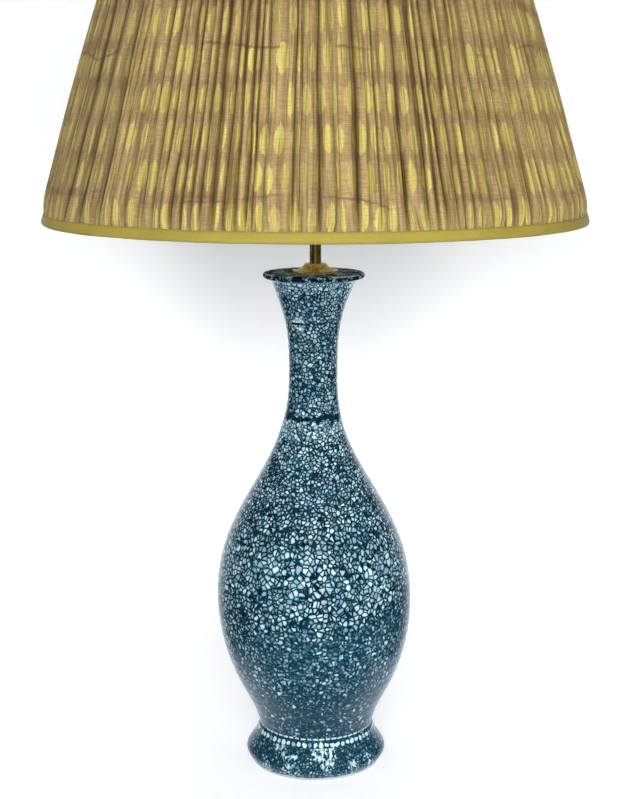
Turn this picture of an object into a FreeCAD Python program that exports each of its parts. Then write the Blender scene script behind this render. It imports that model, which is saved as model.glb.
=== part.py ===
import FreeCAD, Part
import math
import os
import re

import Sketcher

# Ceramic table lamp: a baluster vase with a flared neck, a brass cap and stem, a turn-knob
# lampholder with its bulb, a wire harp, and a pleated cloth shade held down by a finial.
# Frame: millimetres, origin on the table under the middle of the foot, +Z up, front towards -Y.

V = FreeCAD.Vector
doc = FreeCAD.newDocument("ceramic_table_lamp")

# Driving dimensions
SIZES = {
    # vase, outside profile from the foot up: radii, and rises from one station to the next
    "foot_radius": 57.5,
    "foot_ring_height": 3.2,
    "glaze_step": 1.5,
    "foot_edge_radius": 62.2,
    "foot_edge_rise": 6.0,
    "skirt_radius": 56.2,
    "skirt_rise": 12.0,
    "waist_radius": 50.7,
    "waist_rise": 13.8,
    "root_radius": 53.3,
    "root_rise": 9.0,
    "hip_radius": 66.7,
    "hip_rise": 28.0,
    "lower_belly_radius": 80.3,
    "lower_belly_rise": 36.0,
    "belly_radius": 85.7,
    "belly_rise": 48.0,
    "shoulder_radius": 79.0,
    "shoulder_rise": 42.0,
    "slope_radius": 56.5,
    "slope_rise": 48.0,
    "collar_radius": 33.5,
    "collar_rise": 42.0,
    "neck_foot_radius": 22.9,
    "neck_foot_rise": 36.0,
    "neck_radius": 21.1,
    "neck_rise": 31.0,
    "throat_radius": 24.0,
    "throat_rise": 41.0,
    "flare_radius": 36.2,
    "flare_rise": 36.4,
    "lip_radius": 43.6,
    "lip_round": 2.4,
    "lip_undercut": 2.2,
    "waist_groove_radius": 0.9,
    # vase, inside
    "vase_wall": 6.0,
    "floor_height": 28.0,
    "floor_thickness": 10.0,
    "top_plate_thickness": 7.0,
    "foot_ring_wall": 7.2,
    "recess_wall": 8.2,
    "ledge_width": 2.5,
    "baize_ledge_depth": 2.2,
    # cable outlet at the back of the foot
    "outlet_height": 11.0,
    "outlet_seat_depth": 57.0,
    "cable_hole_radius": 3.2,
    "bush_wall": 1.3,
    "bush_flange_radius": 7.0,
    "bush_flange_thickness": 2.0,
    "bush_inner_projection": 1.5,
    "bush_fit": 0.05,
    "bush_clearance": 0.4,
    # stem rod and what it clamps
    "rod_radius": 5.0,
    "rod_wall": 1.5,
    "rod_tail": 5.0,
    "thread_clearance": 0.05,
    "drilled_clearance": 1.2,
    "nut_across_flats": 14.0,
    "nut_thickness": 4.0,
    "washer_radius": 20.0,
    "washer_thickness": 1.5,
    "seal_thickness": 2.0,
    "baize_thickness": 1.5,
    "glue_clearance": 0.3,
    "rim_seal_thickness": 0.6,
    "rim_seal_width": 2.4,
    # brass cap on the vase
    "brim_radius": 19.5,
    "brim_thickness": 1.0,
    "cap_height": 7.0,
    "cap_top_radius": 9.0,
    "cap_curve_radius": 13.0,
    "cap_wall": 1.4,
    "spigot_clearance": 0.3,
    "spigot_length": 5.0,
    "stem_height": 21.0,
    # harp saddle
    "strip_thickness": 1.6,
    "strip_width": 12.0,
    "saddle_half_length": 31.0,
    "tongue_width": 4.6,
    "shoulder_height": 7.0,
    "tongue_height": 10.0,
    # lampholder
    "lamp_thread_radius": 13.1,
    "lamp_clearance": 0.2,
    "contact_sheet": 0.4,
    "holder_air_gap": 0.5,
    "sleeve_thickness": 0.8,
    "holder_fit": 0.15,
    "shell_sheet": 0.6,
    "hub_radius": 8.0,
    "hub_height": 9.0,
    "holder_cap_height": 22.0,
    "holder_cap_round": 5.0,
    "shell_overlap": 8.0,
    "shell_height": 44.0,
    "rod_engagement": 8.0,
    "sleeve_inset": 1.0,
    "block_inset": 2.0,
    "block_height": 16.0,
    "screw_shell_height": 22.0,
    "centre_contact_radius": 3.0,
    "centre_contact_height": 2.0,
    "screw_shell_hole_radius": 5.5,
    "terminal_offset": 8.0,
    "terminal_shank_radius": 1.5,
    "terminal_head_radius": 2.6,
    "terminal_head_height": 1.8,
    "terminal_depth": 5.0,
    "set_screw_radius": 1.5,
    "set_screw_proud": 0.6,
    # turn knob
    "spindle_radius": 1.6,
    "spindle_clearance": 0.06,
    "spindle_opening": 0.8,
    "spindle_depth": 8.0,
    "spindle_reach": 9.0,
    "knob_radius": 5.2,
    "knob_length": 12.0,
    "knob_standoff": 5.0,
    "knob_waist_radius": 3.4,
    "knob_collar": 1.2,
    # bulb
    "bulb_radius": 30.0,
    "bulb_length": 106.0,
    "bulb_glass": 1.0,
    "bulb_neck_radius": 12.4,
    "bulb_flare_angle": 40.0,
    "bulb_tip_height": 1.4,
    "bulb_tip_radius": 4.6,
    "bulb_insulator_height": 3.2,
    "bulb_insulator_radius": 10.0,
    "bulb_cap_height": 23.0,
    "bulb_neck_depth": 8.0,
    "contact_gap": 0.3,
    "carrier_radius": 8.6,
    "carrier_rod_radius": 2.2,
    "carrier_disc": 1.5,
    "filament_radius": 0.9,
    "filament_circle": 6.8,
    "filament_length": 38.0,
    "filament_count": 4,
    # harp
    "harp_wire_radius": 1.6,
    "harp_gap": 0.2,
    "harp_height": 252.0,
    "harp_half_width": 55.0,
    "harp_flare_radius": 50.0,
    "harp_side_radius": 144.0,
    "harp_corner_radius": 18.0,
    "harp_top_flat": 7.5,
    "ferrule_wall": 0.9,
    "ferrule_length": 13.0,
    "ferrule_clearance": 0.25,
    "harp_seat_radius": 9.0,
    "harp_seat_thickness": 2.4,
    "harp_hub_radius": 5.0,
    "harp_hub_wall": 1.2,
    "stud_radius": 3.1,
    "stud_length": 14.0,
    "seat_gap": 0.2,
    # shade: radii are those over the trim
    "shade_bottom_radius": 229.4,
    "shade_top_radius": 152.4,
    "shade_height": 269.3,
    "fitter_drop": 19.0,
    "trim_roll": 3.4,
    "trim_height": 8.8,
    "trim_thickness": 0.7,
    "trim_gap": 0.1,
    "trim_round": 2.4,
    "hem_pleat_depth": 0.5,
    "cloth_thickness": 1.0,
    "pleat_count": 150,
    "pleat_depth_ratio": 0.40,
    "pleat_unevenness": 0.35,
    "pleat_run_in": 15.0,
    "lining_thickness": 0.6,
    "frame_wire_radius": 1.6,
    "frame_gap": 0.3,
    "strut_wire_radius": 1.3,
    "strut_count": 12,
    "washer_ring_radius": 12.7,
    "washer_ring_thickness": 2.0,
    "washer_ring_clearance": 0.4,
    "arm_wire_radius": 1.6,
    "arm_lap": 1.0,
    "arm_slit_clearance": 0.5,
    "arm_count": 3,
    # finial
    "finial_base_radius": 8.0,
    "finial_base_height": 3.0,
    "finial_neck_radius": 4.6,
    "finial_neck_height": 13.0,
    "finial_ball_radius": 8.5,
    "finial_thread_clearance": 0.05,
    "finial_hole_spare": 1.0,
}

# Heights and radii that follow from the driving dimensions
PLACES = {
    # vase stations
    "glaze_edge_radius": "foot_radius + glaze_step",
    "foot_edge_height": "foot_ring_height + foot_edge_rise",
    "skirt_height": "foot_edge_height + skirt_rise",
    "waist_height": "skirt_height + waist_rise",
    "root_height": "waist_height + root_rise",
    "hip_height": "root_height + hip_rise",
    "lower_belly_height": "hip_height + lower_belly_rise",
    "belly_height": "lower_belly_height + belly_rise",
    "shoulder_level": "belly_height + shoulder_rise",
    "slope_height": "shoulder_level + slope_rise",
    "collar_height": "slope_height + collar_rise",
    "neck_foot_height": "collar_height + neck_foot_rise",
    "neck_height": "neck_foot_height + neck_rise",
    "throat_height": "neck_height + throat_rise",
    "flare_height": "throat_height + flare_rise",
    "lip_low": "flare_height + lip_undercut",
    "lip_middle": "lip_low + lip_round",
    "rim_top": "lip_middle + lip_round",
    "floor_top": "floor_height + floor_thickness",
    "ceiling_height": "rim_top - top_plate_thickness",
    "ledge_radius": "foot_radius - foot_ring_wall",
    "recess_radius": "ledge_radius - ledge_width",
    "recess_top_radius": "waist_radius - recess_wall",
    "drilled_radius": "rod_radius + drilled_clearance",
    "thread_radius": "rod_radius + thread_clearance",
    # cable bush, measured outwards along Y
    "bush_radius": "cable_hole_radius + bush_wall",
    "bush_inner_end": "recess_radius - bush_inner_projection",
    "bush_sleeve_length": "outlet_seat_depth - bush_inner_end",
    "bush_length": "bush_sleeve_length + bush_flange_thickness",
    # clamp stack under the vase floor
    "seal_bottom": "floor_height - seal_thickness",
    "washer_bottom": "seal_bottom - washer_thickness",
    "nut_bottom": "washer_bottom - nut_thickness",
    "rod_bottom": "nut_bottom - rod_tail",
    "baize_bottom": "baize_ledge_depth - baize_thickness",
    # stack above the rim
    "cap_bottom": "rim_top + rim_seal_thickness",
    "cap_top": "cap_bottom + cap_height",
    "spigot_radius": "drilled_radius - spigot_clearance",
    "spigot_bottom": "rim_top - spigot_length",
    "locknut_bottom": "cap_top + stem_height",
    "locknut_top": "locknut_bottom + nut_thickness",
    "strip_top": "locknut_top + strip_thickness",
    "rod_top": "strip_top + rod_engagement",
    # lampholder, from the lamp thread outwards and from the strip upwards
    "screw_shell_inner": "lamp_thread_radius + lamp_clearance",
    "screw_shell_outer": "screw_shell_inner + contact_sheet",
    "sleeve_inner": "screw_shell_outer + holder_air_gap",
    "sleeve_outer": "sleeve_inner + sleeve_thickness",
    "shell_inner": "sleeve_outer + holder_fit",
    "shell_outer": "shell_inner + shell_sheet",
    "cup_inner": "shell_outer + holder_fit",
    "cup_outer": "cup_inner + shell_sheet",
    "cup_floor": "strip_top + hub_height",
    "cup_under": "cup_floor - shell_sheet",
    "cup_round_top": "cup_under + holder_cap_round",
    "cup_inner_round": "holder_cap_round - shell_sheet",
    "set_screw_height": "strip_top + (hub_height - shell_sheet) / 2",
    "cup_rim": "strip_top + holder_cap_height",
    "shell_bottom": "cup_rim - shell_overlap",
    "shell_top": "shell_bottom + shell_height",
    "sleeve_bottom": "shell_bottom + sleeve_inset",
    "sleeve_top": "shell_top - sleeve_inset",
    "block_radius": "sleeve_inner - holder_fit",
    "block_bottom": "sleeve_bottom + block_inset",
    "block_top": "block_bottom + block_height",
    "screw_shell_top": "block_top + screw_shell_height",
    "centre_contact_top": "block_top + centre_contact_height",
    "terminal_shank_length": "terminal_depth - holder_fit",
    "terminal_head_bottom": "block_bottom - terminal_head_height",
    "spindle_height": "block_bottom + block_height / 2",
    "spindle_seat": "block_radius - spindle_depth",
    "spindle_inner_end": "spindle_seat + holder_fit",
    "spindle_hole_radius": "spindle_radius + spindle_opening",
    "knob_inner_end": "shell_outer + knob_standoff",
    "knob_outer_end": "knob_inner_end + knob_length",
    "spindle_end": "knob_inner_end + spindle_reach",
    # bulb
    "bulb_bottom": "centre_contact_top + contact_gap",
    "bulb_tip_top": "bulb_bottom + bulb_tip_height",
    "bulb_insulator_top": "bulb_tip_top + bulb_insulator_height",
    "bulb_cap_top": "bulb_insulator_top + bulb_cap_height",
    "bulb_neck_bottom": "bulb_cap_top - bulb_neck_depth",
    "bulb_top": "bulb_bottom + bulb_length",
    "bulb_centre": "bulb_top - bulb_radius",
    "bulb_join_radius": "bulb_radius * cos(bulb_flare_angle * 1 deg)",
    "bulb_join_height": "bulb_centre - bulb_radius * sin(bulb_flare_angle * 1 deg)",
    "bulb_flare_radius":
        "(bulb_join_radius - bulb_neck_radius) / (1 - cos(bulb_flare_angle * 1 deg))",
    "bulb_flare_bottom":
        "bulb_join_height - bulb_flare_radius * sin(bulb_flare_angle * 1 deg)",
    "bulb_inner_radius": "bulb_radius - bulb_glass",
    "bulb_inner_join_radius": "bulb_inner_radius * cos(bulb_flare_angle * 1 deg)",
    "bulb_inner_join_height":
        "bulb_centre - bulb_inner_radius * sin(bulb_flare_angle * 1 deg)",
    "bulb_inner_flare_radius": "bulb_flare_radius + bulb_glass",
    "bulb_cap_inner": "lamp_thread_radius - contact_sheet",
    "carrier_top": "bulb_centre + filament_length / 2",
    "carrier_low": "bulb_centre - filament_length / 2",
    # harp
    "tongue_top": "strip_top + shoulder_height + tongue_height",
    "shoulder_top": "strip_top + shoulder_height",
    "half_tongue": "tongue_width / 2",
    "half_strip_cut": "strip_width / 2 + strip_thickness",
    "tongue_cut_top": "tongue_top + strip_thickness",
    "harp_foot": "saddle_half_length - strip_thickness - harp_gap - harp_wire_radius",
    "ferrule_centre": "saddle_half_length - strip_thickness - harp_gap / 2",
    "ferrule_inner": "harp_gap / 2 + 2 * harp_wire_radius + ferrule_clearance",
    "ferrule_outer": "ferrule_inner + ferrule_wall",
    "harp_bottom": "strip_top + harp_gap",
    "ferrule_bottom": "shoulder_top + harp_gap",
    "harp_top": "strip_top + harp_height",
    "harp_hub_bottom": "harp_top - harp_wire_radius - harp_hub_wall",
    "harp_seat_bottom": "harp_top + harp_wire_radius + harp_hub_wall",
    "harp_seat_top": "harp_seat_bottom + harp_seat_thickness",
    "stud_top": "harp_seat_top + stud_length",
    # shade
    "washer_ring_bottom": "harp_seat_top + seat_gap",
    "washer_ring_top": "washer_ring_bottom + washer_ring_thickness",
    "shade_top": "washer_ring_top + fitter_drop",
    "shade_bottom": "shade_top - shade_height",
    "cover_bottom": "shade_bottom + trim_roll",
    "cover_top": "shade_top - trim_roll",
    "hem_top": "shade_bottom + trim_height",
    "hem_bottom": "shade_top - trim_height",
    "trim_stack": "trim_thickness + trim_gap + hem_pleat_depth",
    "fold_bottom_radius": "shade_bottom_radius - trim_stack",
    "fold_top_radius": "shade_top_radius - trim_stack",
    "shade_slope": "(fold_bottom_radius - fold_top_radius) / (cover_top - cover_bottom)",
    "hem_narrowing": "shade_slope * (hem_top - cover_bottom)",
    "frame_depth": "cloth_thickness + frame_gap + 2 * frame_wire_radius + frame_gap",
    "ring_offset": "cloth_thickness + frame_gap + frame_wire_radius",
    "lining_bottom_radius": "fold_bottom_radius - frame_depth",
    "lining_top_radius": "fold_top_radius - frame_depth",
    "frame_bottom_radius": "fold_bottom_radius - ring_offset - shade_slope * frame_wire_radius",
    "frame_top_radius": "fold_top_radius - ring_offset + shade_slope * frame_wire_radius",
    "frame_bottom": "cover_bottom + frame_wire_radius",
    "frame_top": "cover_top - frame_wire_radius",
    "trim_inner_bottom": "lining_bottom_radius - lining_thickness - trim_gap - trim_thickness",
    "trim_inner_top": "lining_top_radius - lining_thickness - trim_gap - trim_thickness",
    "trim_bevel": "trim_round * (1 - sqrt(0.5))",
    "trim_inner_bevel": "trim_round - (trim_round - trim_thickness) * sqrt(0.5)",
    "trim_low_turn": "shade_bottom + trim_round",
    "trim_high_turn": "shade_top - trim_round",
    "hem_outer_radius": "shade_bottom_radius - hem_narrowing",
    "hem_inner_radius": "trim_inner_bottom - hem_narrowing",
    "brow_outer_radius": "shade_top_radius + hem_narrowing",
    "brow_inner_radius": "trim_inner_top + hem_narrowing",
    "washer_ring_hole": "stud_radius + washer_ring_clearance",
    "arm_start": "washer_ring_radius - arm_lap",
    "arm_height": "washer_ring_top - washer_ring_thickness / 2",
    "arm_rise": "(frame_top - arm_height) / (frame_top_radius - arm_start)",
    "arm_slit_height": "frame_top - arm_rise * (frame_top_radius - trim_inner_top)",
    # finial
    "finial_bottom": "washer_ring_top + seat_gap",
    "finial_base_top": "finial_bottom + finial_base_height",
    "finial_neck_top": "finial_base_top + finial_neck_height",
    "finial_ball_centre": "finial_neck_top + sqrt(pow(finial_ball_radius; 2) - pow(finial_neck_radius; 2))",
    "finial_top": "finial_ball_centre + finial_ball_radius",
    "finial_hole_radius": "stud_radius + finial_thread_clearance",
    "finial_hole_top": "stud_top + finial_hole_spare",
}

WORD = re.compile(r"[A-Za-z_]\w*")


def bound(text):
    """The formula with each size's name led by the sheet that holds it."""

    def lead(match):
        word = match.group(0)
        if word in SIZES:
            return "sizes." + word
        if word in PLACES:
            return "places." + word
        return word

    return WORD.sub(lead, text)


def fill_sheet(name, rows):
    """A spreadsheet with one named cell to each row."""
    sheet = doc.addObject("Spreadsheet::Sheet", name)
    for row, (alias, content) in enumerate(rows.items(), start=1):
        sheet.set(f"A{row}", alias)
        sheet.set(f"B{row}", str(content))
        sheet.setAlias(f"B{row}", alias)
    return sheet


sizes = fill_sheet("sizes", SIZES)
doc.recompute()
places = fill_sheet("places", {alias: "=" + bound(text).replace("places.", "")
                               for alias, text in PLACES.items()})
doc.recompute()


def number(text):
    """The value of a sum or difference of names, such as "rim_top - vase_wall"."""
    total = 0.0
    sign = 1
    for token in str(text).split():
        if token in "+-":
            sign = 1 if token == "+" else -1
            continue
        if token in SIZES:
            value = getattr(sizes, token)
        elif token in PLACES:
            value = getattr(places, token)
        else:
            value = token
        total += sign * float(value)
        sign = 1
    return total


# Drawing helpers. A corner is a pair of formulas: distance from the axis (or across), and height.
# An Arc between two corners has its radius and turns left (1) or right (-1) on the way.
# A Curve between two corners runs smoothly through the stations it lists.


class Arc:
    def __init__(self, radius, turn):
        self.radius = radius
        self.turn = turn


class Curve:
    def __init__(self, *stations):
        self.stations = stations


def point(corner):
    """A corner as a vector in its sketch."""
    return V(number(corner[0]), number(corner[1]), 0)


def arc_between(start, end, radius, turn):
    """The shorter arc of that radius from start to end, as a full set of Part's arc values."""
    chord = end - start
    left = V(-chord.y, chord.x, 0).normalize()
    rise = math.sqrt(max(radius**2 - (chord.Length / 2) ** 2, 0.0))
    centre = (start + end) * 0.5 + left * (turn * rise)
    first, last = (start, end) if turn > 0 else (end, start)
    first_angle = math.atan2(first.y - centre.y, first.x - centre.x)
    last_angle = math.atan2(last.y - centre.y, last.x - centre.x)
    circle = Part.Circle(centre, V(0, 0, 1), radius)
    return Part.ArcOfCircle(circle, first_angle, last_angle)


def tie_point(sketch, geometry, position, corner):
    """Holds one point of the sketch at its named place."""
    for kind, axis, text in (("DistanceX", -2, corner[0]), ("DistanceY", -1, corner[1])):
        if text == "0":
            sketch.addConstraint(Sketcher.Constraint("PointOnObject", geometry, position, axis))
            continue
        place = Sketcher.Constraint(kind, -1, 1, geometry, position, number(text))
        index = sketch.addConstraint(place)
        sketch.setExpression(f"Constraints[{index}]", bound(text))


def tie_radius(sketch, geometry, text):
    """Gives a circle or an arc its named radius."""
    index = sketch.addConstraint(Sketcher.Constraint("Radius", geometry, number(text)))
    sketch.setExpression(f"Constraints[{index}]", bound(text))


def draw_outline(sketch, items, closed=True):
    """Draws lines, arcs and curves through the corners and ties every corner to its sizes."""
    corners = [item for item in items if isinstance(item, tuple)]
    links = []
    for item in items:
        if isinstance(item, tuple):
            links.append(None)
        else:
            links[-1] = item
    if not closed:
        links.pop()
    starts = {}
    ends = {}
    for index, link in enumerate(links):
        after = (index + 1) % len(corners)
        start = point(corners[index])
        end = point(corners[after])
        if link is None:
            geometry = sketch.addGeometry(Part.LineSegment(start, end), False)
            first, last = 1, 2
        elif isinstance(link, Arc):
            arc = arc_between(start, end, number(link.radius), link.turn)
            geometry = sketch.addGeometry(arc, False)
            first, last = (1, 2) if link.turn > 0 else (2, 1)
            tie_radius(sketch, geometry, link.radius)
        else:
            geometry = draw_curve(sketch, start, link.stations, end)
            first, last = 1, 2
        starts[index] = (geometry, first)
        ends[after] = (geometry, last)
    for index, corner in enumerate(corners):
        if index in starts and index in ends:
            joint = Sketcher.Constraint("Coincident", *ends[index], *starts[index])
            sketch.addConstraint(joint)
        tie_point(sketch, *starts.get(index, ends.get(index)), corner)


def draw_curve(sketch, start, stations, end):
    """A smooth curve through the stations, whose knots are tied to the named places."""
    curve = Part.BSplineCurve()
    curve.interpolate([start, *[point(station) for station in stations], end])
    geometry = sketch.addGeometry(curve, False)
    sketch.exposeInternalGeometry(geometry)
    first_knot = geometry + 1 + curve.NbPoles
    for index, station in enumerate(stations, start=1):
        tie_point(sketch, first_knot + index, 1, station)
    return geometry


def new_body(name):
    """An empty body for one piece; its label names its file."""
    body = doc.addObject("PartDesign::Body", name)
    body.Label = name
    return body


def new_sketch(body, plane, name, offset=None):
    """A sketch on one of the body's own planes, moved along the plane's normal by the offset."""
    sketch = body.newObject("Sketcher::SketchObject", name)
    support = next(f for f in body.Origin.OriginFeatures if f.Role == plane)
    sketch.AttachmentSupport = [(support, "")]
    sketch.MapMode = "FlatFace"
    if offset is not None:
        sketch.setExpression("AttachmentOffset.Base.z", bound(offset))
    return sketch


def draw_circle(sketch, centre, radius):
    """A circle tied to its named centre and radius."""
    circle = Part.Circle(point(centre), V(0, 0, 1), number(radius))
    geometry = sketch.addGeometry(circle, False)
    tie_point(sketch, geometry, 3, centre)
    tie_radius(sketch, geometry, radius)


def turn(body, name, items, feature="Revolution"):
    """Turns an outline in the XZ plane round the body's upright axis, to add or to cut."""
    sketch = new_sketch(body, "XZ_Plane", name + "_outline")
    draw_outline(sketch, items)
    turned = body.newObject("PartDesign::" + feature, name)
    turned.Profile = sketch
    turned.ReferenceAxis = (sketch, ["V_Axis"])
    turned.Angle = 360
    return turned


def turned_piece(name, items):
    """A piece of its own, turned from one outline."""
    body = new_body(name)
    turn(body, name + "_turning", items)
    return body


def extrude(body, sketch, name, feature, length=None, midplane=False, reverse=False):
    """Pads or pockets a sketch by a named length, or cuts right through where none is given."""
    extrusion = body.newObject("PartDesign::" + feature, name)
    extrusion.Profile = sketch
    extrusion.Midplane = midplane
    extrusion.Reversed = reverse
    if length is None:
        extrusion.Type = "ThroughAll"
    else:
        extrusion.setExpression("Length", bound(length))
    return extrusion


def side_hole(body, name, radius, height, start, towards_front=True):
    """A round hole along Y through one side of the piece, from the start distance outwards."""
    offset = start if towards_front else f"0 - ({start})"
    sketch = new_sketch(body, "XZ_Plane", name + "_circle", offset)
    draw_circle(sketch, ("0", height), radius)
    return extrude(body, sketch, name, "Pocket", reverse=towards_front)


def repeat_round(body, feature, name, count):
    """Repeats a feature evenly round the upright axis."""
    doc.recompute()
    pattern = body.newObject("PartDesign::PolarPattern", name)
    pattern.Originals = [feature]
    upright = next(f for f in body.Origin.OriginFeatures if f.Role == "Z_Axis")
    pattern.Axis = (upright, [""])
    pattern.Angle = 360
    pattern.setExpression("Occurrences", bound(count))
    body.Tip = pattern
    return pattern


# Vase and its foot


def make_vase():
    """The glazed vase: thrown outside, hollow inside, with an open foot and a drilled top."""
    body = new_body("vase")
    turn(body, "vase_outside", [
        ("0", "0"),
        ("foot_radius", "0"),
        ("foot_radius", "foot_ring_height"),
        ("glaze_edge_radius", "foot_ring_height"),
        Curve(("foot_edge_radius", "foot_edge_height"), ("skirt_radius", "skirt_height")),
        ("waist_radius", "waist_height"),
        Curve(
            ("root_radius", "root_height"),
            ("hip_radius", "hip_height"),
            ("lower_belly_radius", "lower_belly_height"),
            ("belly_radius", "belly_height"),
            ("shoulder_radius", "shoulder_level"),
            ("slope_radius", "slope_height"),
            ("collar_radius", "collar_height"),
            ("neck_foot_radius", "neck_foot_height"),
            ("neck_radius", "neck_height"),
            ("throat_radius", "throat_height"),
        ),
        ("flare_radius", "flare_height"),
        ("lip_radius - lip_round", "lip_low"),
        Arc("lip_round", 1),
        ("lip_radius", "lip_middle"),
        Arc("lip_round", 1),
        ("lip_radius - lip_round", "rim_top"),
        ("0", "rim_top"),
    ])
    turn(body, "vase_inside", [
        ("0", "floor_top"),
        ("waist_radius - vase_wall", "floor_top"),
        Curve(
            ("root_radius - vase_wall", "root_height"),
            ("hip_radius - vase_wall", "hip_height"),
            ("lower_belly_radius - vase_wall", "lower_belly_height"),
            ("belly_radius - vase_wall", "belly_height"),
            ("shoulder_radius - vase_wall", "shoulder_level"),
            ("slope_radius - vase_wall", "slope_height"),
            ("collar_radius - vase_wall", "collar_height"),
            ("neck_foot_radius - vase_wall", "neck_foot_height"),
            ("neck_radius - vase_wall", "neck_height"),
            ("throat_radius - vase_wall", "throat_height"),
        ),
        ("flare_radius - vase_wall", "ceiling_height"),
        ("0", "ceiling_height"),
    ], "Groove")
    turn(body, "foot_recess", [
        ("0", "0"),
        ("ledge_radius", "0"),
        ("ledge_radius", "baize_ledge_depth"),
        ("recess_radius", "baize_ledge_depth"),
        ("recess_top_radius", "floor_height"),
        ("0", "floor_height"),
    ], "Groove")
    ring = new_sketch(body, "XZ_Plane", "waist_groove_circle")
    draw_circle(ring, ("waist_radius", "waist_height"), "waist_groove_radius")
    groove = body.newObject("PartDesign::Groove", "waist_groove")
    groove.Profile = ring
    groove.ReferenceAxis = (ring, ["V_Axis"])
    groove.Angle = 360
    drilling = new_sketch(body, "XY_Plane", "rod_hole_circle")
    draw_circle(drilling, ("0", "0"), "drilled_radius")
    extrude(body, drilling, "rod_hole", "Pocket", reverse=True)
    side_hole(body, "bush_hole", "bush_radius + bush_fit", "outlet_height", "0", False)
    side_hole(body, "bush_seat", "bush_flange_radius + bush_clearance", "outlet_height",
              "outlet_seat_depth", False)
    return body


def make_cable_bush():
    """The rubber bush in the back of the foot: a sleeve with a flange on the spot-faced seat."""
    body = turned_piece("cable_bush", [
        ("cable_hole_radius", "0"),
        ("bush_radius", "0"),
        ("bush_radius", "bush_sleeve_length"),
        ("bush_flange_radius", "bush_sleeve_length"),
        ("bush_flange_radius", "bush_length"),
        ("cable_hole_radius", "bush_length"),
    ])
    body.Placement = FreeCAD.Placement(V(0, 0, 0), FreeCAD.Rotation(V(1, 0, 0), -90))
    body.setExpression("Placement.Base.y", bound("bush_inner_end"))
    body.setExpression("Placement.Base.z", bound("outlet_height"))
    return body


def make_ring_piece(name, inner, outer, low, high):
    """A flat or tubular ring of rectangular section."""
    return turned_piece(name, [(inner, low), (outer, low), (outer, high), (inner, high)])


def make_nut(name, low):
    """A hexagon nut on the stem rod."""
    hexagon = doc.addObject("Part::Prism", name + "_hexagon")
    hexagon.Polygon = 6
    hexagon.setExpression("Circumradius", bound("nut_across_flats / sqrt(3)"))
    hexagon.setExpression("Height", bound("nut_thickness"))
    thread = doc.addObject("Part::Cylinder", name + "_thread")
    thread.setExpression("Radius", bound("thread_radius"))
    thread.setExpression("Height", bound("nut_thickness"))
    nut = doc.addObject("Part::Cut", name)
    nut.Label = name
    nut.Base = hexagon
    nut.Tool = thread
    nut.setExpression("Placement.Base.z", bound(low))
    return nut


def make_stem_rod():
    """The hollow rod from under the vase's floor to the lampholder; the cable runs inside."""
    return make_ring_piece("stem_rod", "rod_radius - rod_wall", "rod_radius", "rod_bottom", "rod_top")


def make_base_baize():
    """The baize disc glued against the ledge inside the foot ring."""
    return turned_piece("base_baize", [
        ("0", "baize_bottom"),
        ("ledge_radius - glue_clearance", "baize_bottom"),
        ("ledge_radius - glue_clearance", "baize_ledge_depth"),
        ("0", "baize_ledge_depth"),
    ])


def make_vase_cap():
    """The spun brass cap: a brim on its seal, a hollow flare, and a threaded spigot."""
    return turned_piece("vase_cap", [
        ("thread_radius", "spigot_bottom"),
        ("spigot_radius", "spigot_bottom"),
        ("spigot_radius", "cap_top - cap_wall - cap_wall"),
        ("cap_top_radius - cap_wall", "cap_top - cap_wall - cap_wall"),
        ("brim_radius - rim_seal_width", "cap_bottom"),
        ("brim_radius", "cap_bottom"),
        ("brim_radius", "cap_bottom + brim_thickness"),
        Arc("cap_curve_radius", -1),
        ("cap_top_radius", "cap_top"),
        ("thread_radius", "cap_top"),
    ])


# Harp saddle and lampholder


def make_harp_saddle():
    """The steel strip clamped under the lampholder, with its ends turned up into tongues."""
    body = new_body("harp_saddle")
    side = new_sketch(body, "XZ_Plane", "saddle_side_view")
    draw_outline(side, [
        ("0 - saddle_half_length", "locknut_top"),
        ("saddle_half_length", "locknut_top"),
        ("saddle_half_length", "tongue_top"),
        ("saddle_half_length - strip_thickness", "tongue_top"),
        ("saddle_half_length - strip_thickness", "strip_top"),
        ("strip_thickness - saddle_half_length", "strip_top"),
        ("strip_thickness - saddle_half_length", "tongue_top"),
        ("0 - saddle_half_length", "tongue_top"),
    ])
    extrude(body, side, "saddle_strip", "Pad", "strip_width", midplane=True)
    shoulders = new_sketch(body, "YZ_Plane", "saddle_shoulders")
    for inner, outer in (("half_tongue", "half_strip_cut"), ("0 - half_tongue", "0 - half_strip_cut")):
        draw_outline(shoulders, [
            (inner, "shoulder_top"),
            (outer, "shoulder_top"),
            (outer, "tongue_cut_top"),
            (inner, "tongue_cut_top"),
        ])
    extrude(body, shoulders, "saddle_shoulder_cut", "Pocket", midplane=True)
    hole = new_sketch(body, "XY_Plane", "saddle_hole_circle", "locknut_top")
    draw_circle(hole, ("0", "0"), "thread_radius")
    extrude(body, hole, "saddle_hole", "Pocket", midplane=True)
    return body


def make_holder_cap():
    """The brass cup that screws on the rod and holds the shell."""
    body = turned_piece("holder_cap", [
        ("thread_radius", "strip_top"),
        ("hub_radius", "strip_top"),
        ("hub_radius", "cup_under"),
        ("cup_outer - holder_cap_round", "cup_under"),
        Arc("holder_cap_round", 1),
        ("cup_outer", "cup_round_top"),
        ("cup_outer", "cup_rim"),
        ("cup_inner", "cup_rim"),
        ("cup_inner", "cup_round_top"),
        Arc("cup_inner_round", -1),
        ("cup_outer - holder_cap_round", "cup_floor"),
        ("thread_radius", "cup_floor"),
    ])
    side_hole(body, "set_screw_hole", "set_screw_radius + thread_clearance", "set_screw_height",
              "0", False)
    return body


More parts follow.
